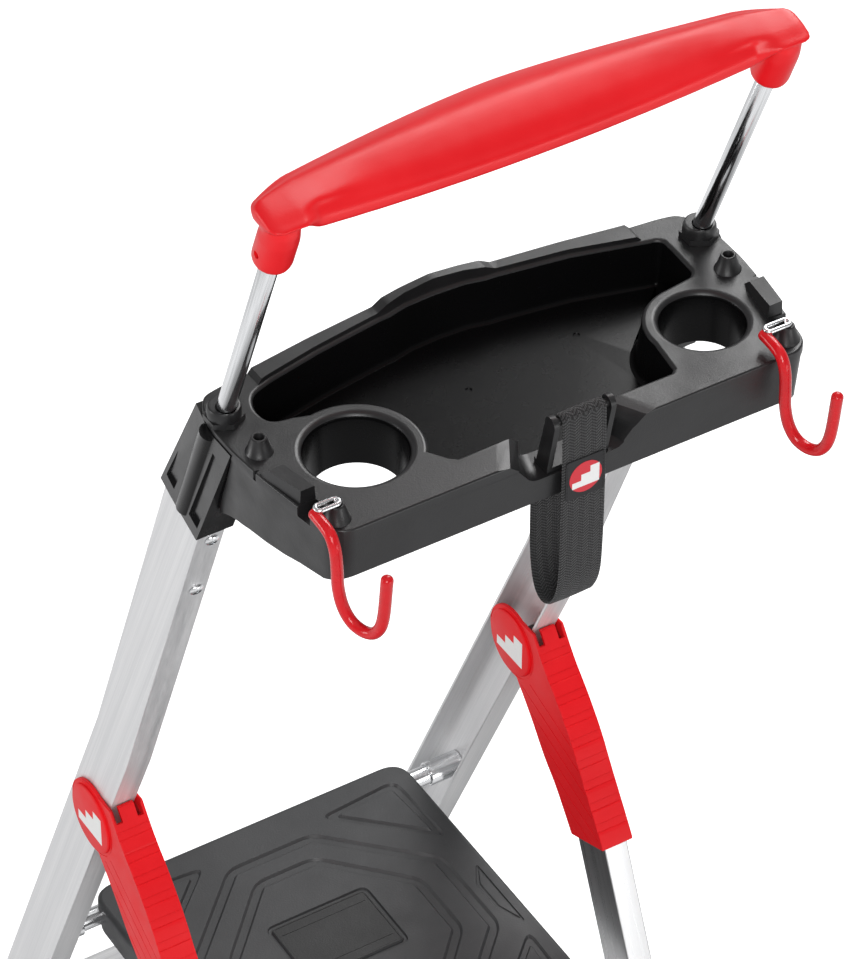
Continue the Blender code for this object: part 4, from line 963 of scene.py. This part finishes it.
def strap_route():
    """(y, z) line of the webbing: over the bar, down outside, and back up to the slot in the tray."""
    points = arc(BAR_YZ, 0.0025 + 0.0003 + 0.0009, 190, 10, 8)
    points += [(0.1227, 0.0000), (0.1228, -0.0220), (0.1228, -0.0450), (0.1224, -0.0800), (0.1205, -0.1050)]
    points += [(0.1140, -0.1215), (0.1050, -0.1275), (0.0970, -0.1225), (0.0925, -0.1060)]
    points += [(0.0910, -0.0800), (0.0915, -0.0360)]
    return points


def build_strap():
    path = spline(strap_route(), 10)
    lengths = [0.0]
    for first, second in zip(path, path[1:]):
        lengths.append(lengths[-1] + float(np.linalg.norm(second - first)))
    half = STRAP_WIDTH / 2
    columns = 22
    section = []
    for index in range(columns + 1):
        u = -half + STRAP_WIDTH * index / columns
        edge = max(0.0, 1 - (half - abs(u)) / 0.0022)
        thick = STRAP_THICK / 2 * (1 + 0.12 * math.sin(edge * math.pi))
        section.append((u, thick * math.sqrt(max(0.08, 1 - edge**3))))
    loop = section + [(u, -v) for u, v in reversed(section)]
    bm = bmesh.new()
    uv = bm.loops.layers.uv.new("UVMap")
    rows = []
    for index, point in enumerate(path):
        before = path[max(index - 1, 0)]
        after = path[min(index + 1, len(path) - 1)]
        along = (after - before) / np.linalg.norm(after - before)
        normal = np.array((-along[1], along[0]))
        row = []
        for u, v in loop:
            cup = 0.0004 * (1 - (u / half) ** 2)
            place = point + normal * (v + cup)
            row.append(bm.verts.new((STRAP_X + u, *at(*place))))
        rows.append(row)
    count = len(loop)
    for index in range(len(rows) - 1):
        for step in range(count):
            after = (step + 1) % count
            corners = ((step, index), (after, index), (after, index + 1), (step, index + 1))
            face = bm.faces.new([rows[row][column] for column, row in corners])
            for corner, (column, row) in zip(face.loops, corners):
                corner[uv].uv = (loop[column][0] + half, lengths[row])
    for row in (rows[0], rows[-1]):
        face = bm.faces.new(row)
        for corner, (u, v) in zip(face.loops, loop):
            corner[uv].uv = (u + half, v)
    bmesh.ops.recalc_face_normals(bm, faces=bm.faces)
    mesh = bpy.data.meshes.new("strap_webbing")
    bm.to_mesh(mesh)
    bm.free()
    mesh.shade_smooth()
    mesh.set_sharp_from_angle(angle=math.radians(50))
    mesh.materials.append(M["strap"])
    strap = bpy.data.objects.new("strap_webbing", mesh)
    bpy.context.scene.collection.objects.link(strap)
    stand_for(strap, "front_frame", "strap", "strap")
    build_label()


def build_label():
    """Sewn label with a round print of plain ascending steps."""
    right = np.array((-1.0, 0.0, 0.0))
    up = np.array((0.0, 0.0, 1.0))
    out = np.array((0.0, 1.0, 0.0))
    centre = np.array((STRAP_X, *at(0.1242, -0.0242)))

    def raised(name, outline, low, high, slot):
        rings = []
        for depth in (low, high):
            rings.append([tuple(centre + right * u + up * v + out * depth) for u, v in outline])
        return add_object(name, loft(rings), slot, 40)

    patch = rounded(rectangle(-0.0130, 0.0130, -0.0140, 0.0140), 0.0016, 4)
    pieces = [raised("label_ground", patch, 0.0, 0.0007, "patch")]
    pieces.append(raised("label_disc", circle(0.0108, 72), 0.0007, 0.00085, "print_red"))
    steps = [(u * 0.72, v * 0.72) for u, v in STEPS_MARK]
    pieces.append(raised("label_steps", steps, 0.00085, 0.00095, "print_white"))
    stitches = bmesh.new()
    arch = ((-0.0008, 0.0006), (0, 0.00095), (0.0008, 0.0006))
    for u in (-0.0119, 0.0119):
        for index in range(11):
            v = -0.0130 + 0.0260 * index / 10
            path = [centre + right * u + up * (v + shift) + out * rise for shift, rise in arch]
            part = sweep(path, 0.00022, 8)
            mesh = bpy.data.meshes.new("stitch")
            part.to_mesh(mesh)
            part.free()
            stitches.from_mesh(mesh)
            bpy.data.meshes.remove(mesh)
    pieces.append(add_object("label_stitches", stitches, "strap", 60))
    for piece in pieces:
        stand_for(piece, "front_frame", "patch", "strap_patch")
    return pieces


STEPS_MARK = [
    (-0.0125, -0.0090),
    (0.0125, -0.0090),
    (0.0125, 0.0090),
    (0.0042, 0.0090),
    (0.0042, 0.0030),
    (-0.0042, 0.0030),
    (-0.0042, -0.0030),
    (-0.0125, -0.0030),
]


# ---------------------------------------------------------------- hinge covers

HINGE = (-0.175, -0.459)
COVER_HALF = 0.0120
COVER_END_Z = -0.5660
DISC_THICK = 0.0019


def leg_y(z):
    """y of the rear leg's middle line, both from where a post meets the tray."""
    return -0.055 + (-0.620 - z) * math.tan(REAR_LEAN)


def band_tools(points):
    """(y, z) outlines to cut across the rear face: wide shallow bands with a fine line at each edge."""
    dense = np.array(spline(points, 24))
    lengths = np.concatenate(([0.0], np.cumsum(np.linalg.norm(np.diff(dense, axis=0), axis=1))))

    def place(mark):
        here, ahead = (
            np.array([np.interp(distance, lengths, dense[:, axis]) for axis in (0, 1)])
            for distance in (mark, mark + 0.0005)
        )
        along = (ahead - here) / np.linalg.norm(ahead - here)
        return here, along, np.array((-along[1], along[0]))

    tools = []
    start = 0.0150
    while start < lengths[-1] - 0.006:
        end = min(start + 0.0056, lengths[-1] - 0.003)
        sunk = []
        for share in (0.0, 0.5, 1.0):
            here, _, normal = place(start + (end - start) * share)
            sunk.append((here - normal * 0.0004, here + normal * 0.004))
        tools.append([low for low, _ in sunk] + [high for _, high in reversed(sunk)])
        for edge in (start, end):
            here, along, normal = place(edge)
            corners = ((-0.00035, 0.004), (-0.00035, -0.0006), (0.00035, -0.0006), (0.00035, 0.004))
            tools.append([here + along * shift + normal * rise for shift, rise in corners])
        start = end + 0.0096
    return tools


def cover_lines():
    """The cover's rear and front edges in (y, z), and the direction of the leg below."""
    along = np.array((math.sin(REAR_LEAN), -math.cos(REAR_LEAN)))
    across = np.array((-along[1], along[0]))
    end = np.array((leg_y(COVER_END_Z), COVER_END_Z))
    reach = 0.018 + 0.0003 + 0.0024
    rear_end = end + across * reach
    front_end = end - across * reach
    rear = [(-0.1495, -0.4320), (-0.1345, -0.4520), (-0.1165, -0.4710), (-0.0995, -0.4920)]
    front = [(-0.1690, -0.4860), (-0.1500, -0.5080), (-0.1330, -0.5300), (-0.1170, -0.5470)]
    rear += [(-0.0850, -0.5150), tuple(rear_end - along * 0.007), tuple(rear_end)]
    return rear, front + [tuple(front_end)], along


def shifted(points, distance):
    """An open line moved sideways."""
    result = []
    for index, point in enumerate(points):
        before = np.array(points[max(index - 1, 0)])
        after = np.array(points[min(index + 1, len(points) - 1)])
        along = (after - before) / np.linalg.norm(after - before)
        result.append(tuple(np.array(point) + np.array((along[1], -along[0])) * distance))
    return result


def build_cover(side, label):
    rear, front, along = cover_lines()
    fine_rear = spline(rear, 8)
    fine_front = spline(front, 6)
    disc = arc(HINGE, 0.0275, -82, -290, 44)
    outline = fine_rear + fine_front[::-1] + disc
    ends = (side * (POST_X - COVER_HALF), side * (POST_X + COVER_HALF))
    made = add_object("cover_shell_" + label, slab(outline, *ends))
    soften(made, 0.0009, 3, 50)
    settle(made)
    ends = (side * (POST_X - COVER_HALF - 0.002), side * (POST_X + COVER_HALF + 0.002))
    for tool in band_tools(rear):
        boolean(made, slab(tool, *ends))
    rear_in = shifted(spline(rear, 3), 0.0024)
    front_in = shifted(spline(front, 3), -0.0024)
    hollow = [np.array(rear_in[0]) + np.array((-0.004, 0.012))]
    hollow += rear_in
    hollow += [np.array(rear_in[-1]) + along * 0.02, np.array(front_in[-1]) + along * 0.02]
    hollow += front_in[:8:-1]
    hollow += [(-0.1500, -0.5400), (-0.2250, -0.5400), (-0.2250, -0.4150), (-0.1700, -0.4150)]
    boolean(made, slab(hollow, side * (POST_X - 0.0095), side * (POST_X + 0.0095)))
    slot = [(-0.1600, -0.4250), (-0.1450, -0.4250), (-0.1400, -0.4385)]
    slot += [(-0.1470, -0.4415), (-0.1600, -0.4360)]
    for low_x, high_x in ((0.1502, 0.1545), (0.1655, 0.1698)):
        boolean(made, slab(slot, side * low_x, side * high_x))
    for face, slope in ((side * 0.1720, -0.66), (side * 0.1480, -0.30)):
        for index in range(9):
            groove = cheek_groove(face, slope, -0.480 - 0.0118 * index)
            if groove:
                boolean(made, groove)
        boolean(made, ring_tool(face - 0.0003, face + 0.0003, 0.0260, 0.0268))
    settle(made, 32)
    weighted = made.modifiers.new("flat", "WEIGHTED_NORMAL")
    weighted.keep_sharp = True
    settle(made, None)
    paint(made, "cover")
    stand_for(made, "rear_frame", "cover", "hinge_cover_" + label)


def build_discs(side, label):
    """A round badge on each cheek, with plain ascending steps on it."""
    profile = [(0.0, 0.0244), (0.0012, 0.0244), (0.0017, 0.0239), (DISC_THICK, 0.0232), (DISC_THICK, 0.0010)]
    for name, x, way in (("outer", POST_X + COVER_HALF, 1), ("inner", POST_X - COVER_HALF, -1)):
        node = "hinge_disc_%s_%s" % (name, label)
        facing = side * way
        shape = turned(profile, (side * x, *at(*HINGE)), (facing, 0, 0), 96)
        disc = add_object("cover_disc_%s_%s" % (name, label), shape, "cover", 30)
        stand_for(disc, "rear_frame", "cover", node)
        surface = side * x + facing * DISC_THICK
        places = [at(HINGE[0] + facing * u * 1.25, HINGE[1] + v * 1.25) for u, v in STEPS_MARK]
        rings = [[(surface + facing * depth, *place) for place in places] for depth in (-0.0001, 0.00012)]
        mark = add_object("steps_mark_%s_%s" % (name, label), loft(rings), "print_white", 40)
        stand_for(mark, "rear_frame", "cover", node)


def ring_tool(x_low, x_high, inner, outer, count=96):
    """A flat ring round the hinge's line."""
    bm = bmesh.new()
    rows = []
    for radius, x in ((inner, x_low), (outer, x_low), (outer, x_high), (inner, x_high)):
        rows.append([bm.verts.new((x, y, z)) for y, z in circle(radius, count, at(*HINGE))])
    for low_row, high_row in zip(rows, rows[1:] + rows[:1]):
        for index in range(count):
            after = (index + 1) % count
            bm.faces.new((low_row[index], low_row[after], high_row[after], high_row[index]))
    return bm


def cheek_groove(face, slope, z_front):
    """A thin tool along one slanting line of a cheek, clear of the disc and of both edges."""
    rear, front, _ = cover_lines()
    rear = np.array(spline(rear, 8))
    front = np.array(spline(front, 8))
    places = []
    for step in range(160):
        y = -0.175 + 0.135 * step / 159
        z = z_front + slope * (y + 0.150)
        if z > -0.452 or z < -0.570:
            continue
        y_rear = float(np.interp(-z, -rear[:, 1], rear[:, 0]))
        y_front = float(np.interp(-z, -front[:, 1], front[:, 0]))
        far_from_disc = math.hypot(y - HINGE[0], z - HINGE[1]) > 0.0300
        if far_from_disc and y_front + 0.004 < y < y_rear - 0.0025:
            places.append((y, z))
    if len(places) < 6:
        return None
    first = np.array(places[0])
    last = np.array(places[-1])
    along = (last - first) / np.linalg.norm(last - first)
    normal = np.array((-along[1], along[0])) * 0.00035
    corners = [first - normal, last - normal, last + normal, first + normal]
    return slab(corners, face - 0.00035, face + 0.00035)


# ---------------------------------------------------------------- platform


def groove_ring(points, radius, width, deep, top):
    """A tool for one closed groove with sloping walls, round a polygon on a level face."""
    rings = []
    for share, z in ((-0.5, 0.0), (-0.30, -deep), (0.30, -deep), (0.5, 0.0), (0.56, 0.003), (-0.56, 0.003)):
        ring = rounded(offset(points, share * width), max(radius + share * width, 0.0008), 4)
        rings.append([(x, at(y, 0)[0], top + z) for x, y in ring])
    return loft(rings, closed_path=True)


def build_platform():
    top = PLATFORM_TOP
    corners = rectangle(-0.125, 0.125, -0.284, -0.011)
    outline = [(x, at(y, 0)[0]) for x, y in rounded(corners, 0.018, 14)]
    rings = [[(x, y, top - 0.028) for x, y in offset(outline, -0.0015)]]
    rings.append([(x, y, top - 0.0060) for x, y in outline])
    for angle in (0, 22, 45, 68, 90):
        turn = math.radians(angle)
        ring = offset(outline, 0.0034 * (math.cos(turn) - 1))
        rings.append([(x, y, top + 0.0034 * (math.sin(turn) - 1)) for x, y in ring])
    made = add_object("platform_moulding", loft(rings))
    boolean(made, prism_z(offset(outline, -0.0045), top - 0.030, top - 0.0050))
    big = [(-0.032, -0.2485), (0.032, -0.2485), (0.0965, -0.184), (0.0965, -0.111), (0.032, -0.0465)]
    big += [(-0.032, -0.0465), (-0.0965, -0.111), (-0.0965, -0.184)]
    small = [(-0.022, -0.2280), (0.022, -0.2280), (0.0735, -0.1735), (0.0735, -0.1215), (0.022, -0.0670)]
    small += [(-0.022, -0.0670), (-0.0735, -0.1215), (-0.0735, -0.1735)]
    for points in (big, small):
        boolean(made, groove_ring(points, 0.005, 0.0086, 0.0019, top))
    corner = [(0.053, -0.2605), (0.1075, -0.2640), (0.1105, -0.2065)]
    wedge = [(0.116, -0.165), (0.116, -0.105), (0.1075, -0.125), (0.1075, -0.150)]
    middle = -0.1475
    for sign in (1, -1):
        low, edge = ([(sign * x, y) for x, y in points[::sign]] for points in (corner, wedge))
        high = [(x, 2 * middle - y) for x, y in reversed(low)]
        for triangle in (low, high):
            boolean(made, groove_ring(triangle, 0.006, 0.0078, 0.0019, top))
        boolean(made, groove_ring(edge, 0.003, 0.0034, 0.0010, top))
    boolean(made, groove_ring(rectangle(-0.0385, 0.0385, -0.188, -0.130), 0.005, 0.0034, 0.0016, top))
    settle(made)
    soften(made, 0.0005, 2, 28)
    settle(made, None)
    paint(made, "platform")
    stand_for(made, "platform_top", "platform", "platform")
    field = rounded(rectangle(-0.0368, 0.0368, -0.1863, -0.1317), 0.004, 4)
    rings = []
    for grow, z in ((0.0, 0.00002), (-0.0003, 0.0004), (-0.0012, 0.0004), (-0.0016, 0.00012)):
        rings.append([(x, at(y, 0)[0], top + z) for x, y in offset(field, grow)])
    panel = add_object("platform_panel", loft(rings), "plate", 30)
    stand_for(panel, "platform_top", "platform")
    for y in (-0.178, -0.141):
        bar = [(x, at(edge_y, 0)[0]) for x, edge_y in rectangle(-0.033, 0.033, y, y + 0.0008)]
        line = prism_z(bar, top + 0.00010, top + 0.00035)
        rule = add_object("panel_rule_%d" % round(-y * 1000), line, "plate", 30)
        stand_for(rule, "platform_top", "platform")


# ---------------------------------------------------------------- screws


def build_screws():
    """Cross-head screws in each stile's rear flange."""
    up = direction(UPPER_LEAN)
    across = np.array((up[1], -up[0]))
    sideways = np.array((1.0, 0.0, 0.0))
    along = np.array((0.0, *up))
    out = np.array((0.0, *across))
    profile = [(0, 0.0046), (0.0006, 0.0046), (0.0014, 0.0041), (0.0020, 0.0030), (0.0023, 0.0014)]
    cross_arm = rectangle(-0.0022, 0.0022, -0.0004, 0.0004)
    for side, label in SIDES:
        for name, distance in (("upper", 0.108), ("lower", 0.168)):
            centre = np.array((side * 0.1588, *(np.array(at(0, 0)) - up * distance + across * 0.0203)))
            head = add_object("screw_%s_%s" % (name, label), turned(profile, centre, out, 36))
            for first, second in ((sideways, along), (along, sideways)):
                rings = []
                for depth in (0.0009, 0.004):
                    rings.append([tuple(centre + out * depth + first * u + second * v) for u, v in cross_arm])
                boolean(head, loft(rings))
            settle(head, 35)
            paint(head, "screw")
            stand_for(head, "front_frame", "screw", "stile_screw_%s_%s" % (name, label))


# ---------------------------------------------------------------- CAD nodes that stay

EDGE_ROUND = {
    "stile": 0.0005,
    "rear_leg": 0.0009,
    "stile_cap": 0.0007,
    "strap_bracket": 0.0004,
    "axle_collar": 0.0006,
    "front_foot": 0.0018,
    "rear_foot": 0.0018,
    "tread": 0.0005,
    "rear_brace": 0.0005,
}
OWN_MATERIAL = {"stile_cap": "cap", "rear_brace": "brace"}


def dress_nodes():
    """Gives the CAD nodes their materials and rounds the edges of some kinds."""
    slots = {entry["node"]: entry["material_slot"] for entry in frame["record"]["subparts"]}
    for node, obj in frame["nodes"].items():
        kind = node if node in EDGE_ROUND else node.rsplit("_", 1)[0]
        paint(obj, OWN_MATERIAL.get(kind, slots[node]))
        if kind in EDGE_ROUND:
            obj.data.shade_smooth()
            soften(obj, EDGE_ROUND[kind], 2, 32)


dress_nodes()
build_grip()
build_tray()
build_pegs()
build_posts()
build_hooks()
build_strap()
for side, label in SIDES:
    build_cover(side, label)
    build_discs(side, label)
build_platform()
build_screws()
add_camera()
add_studio()
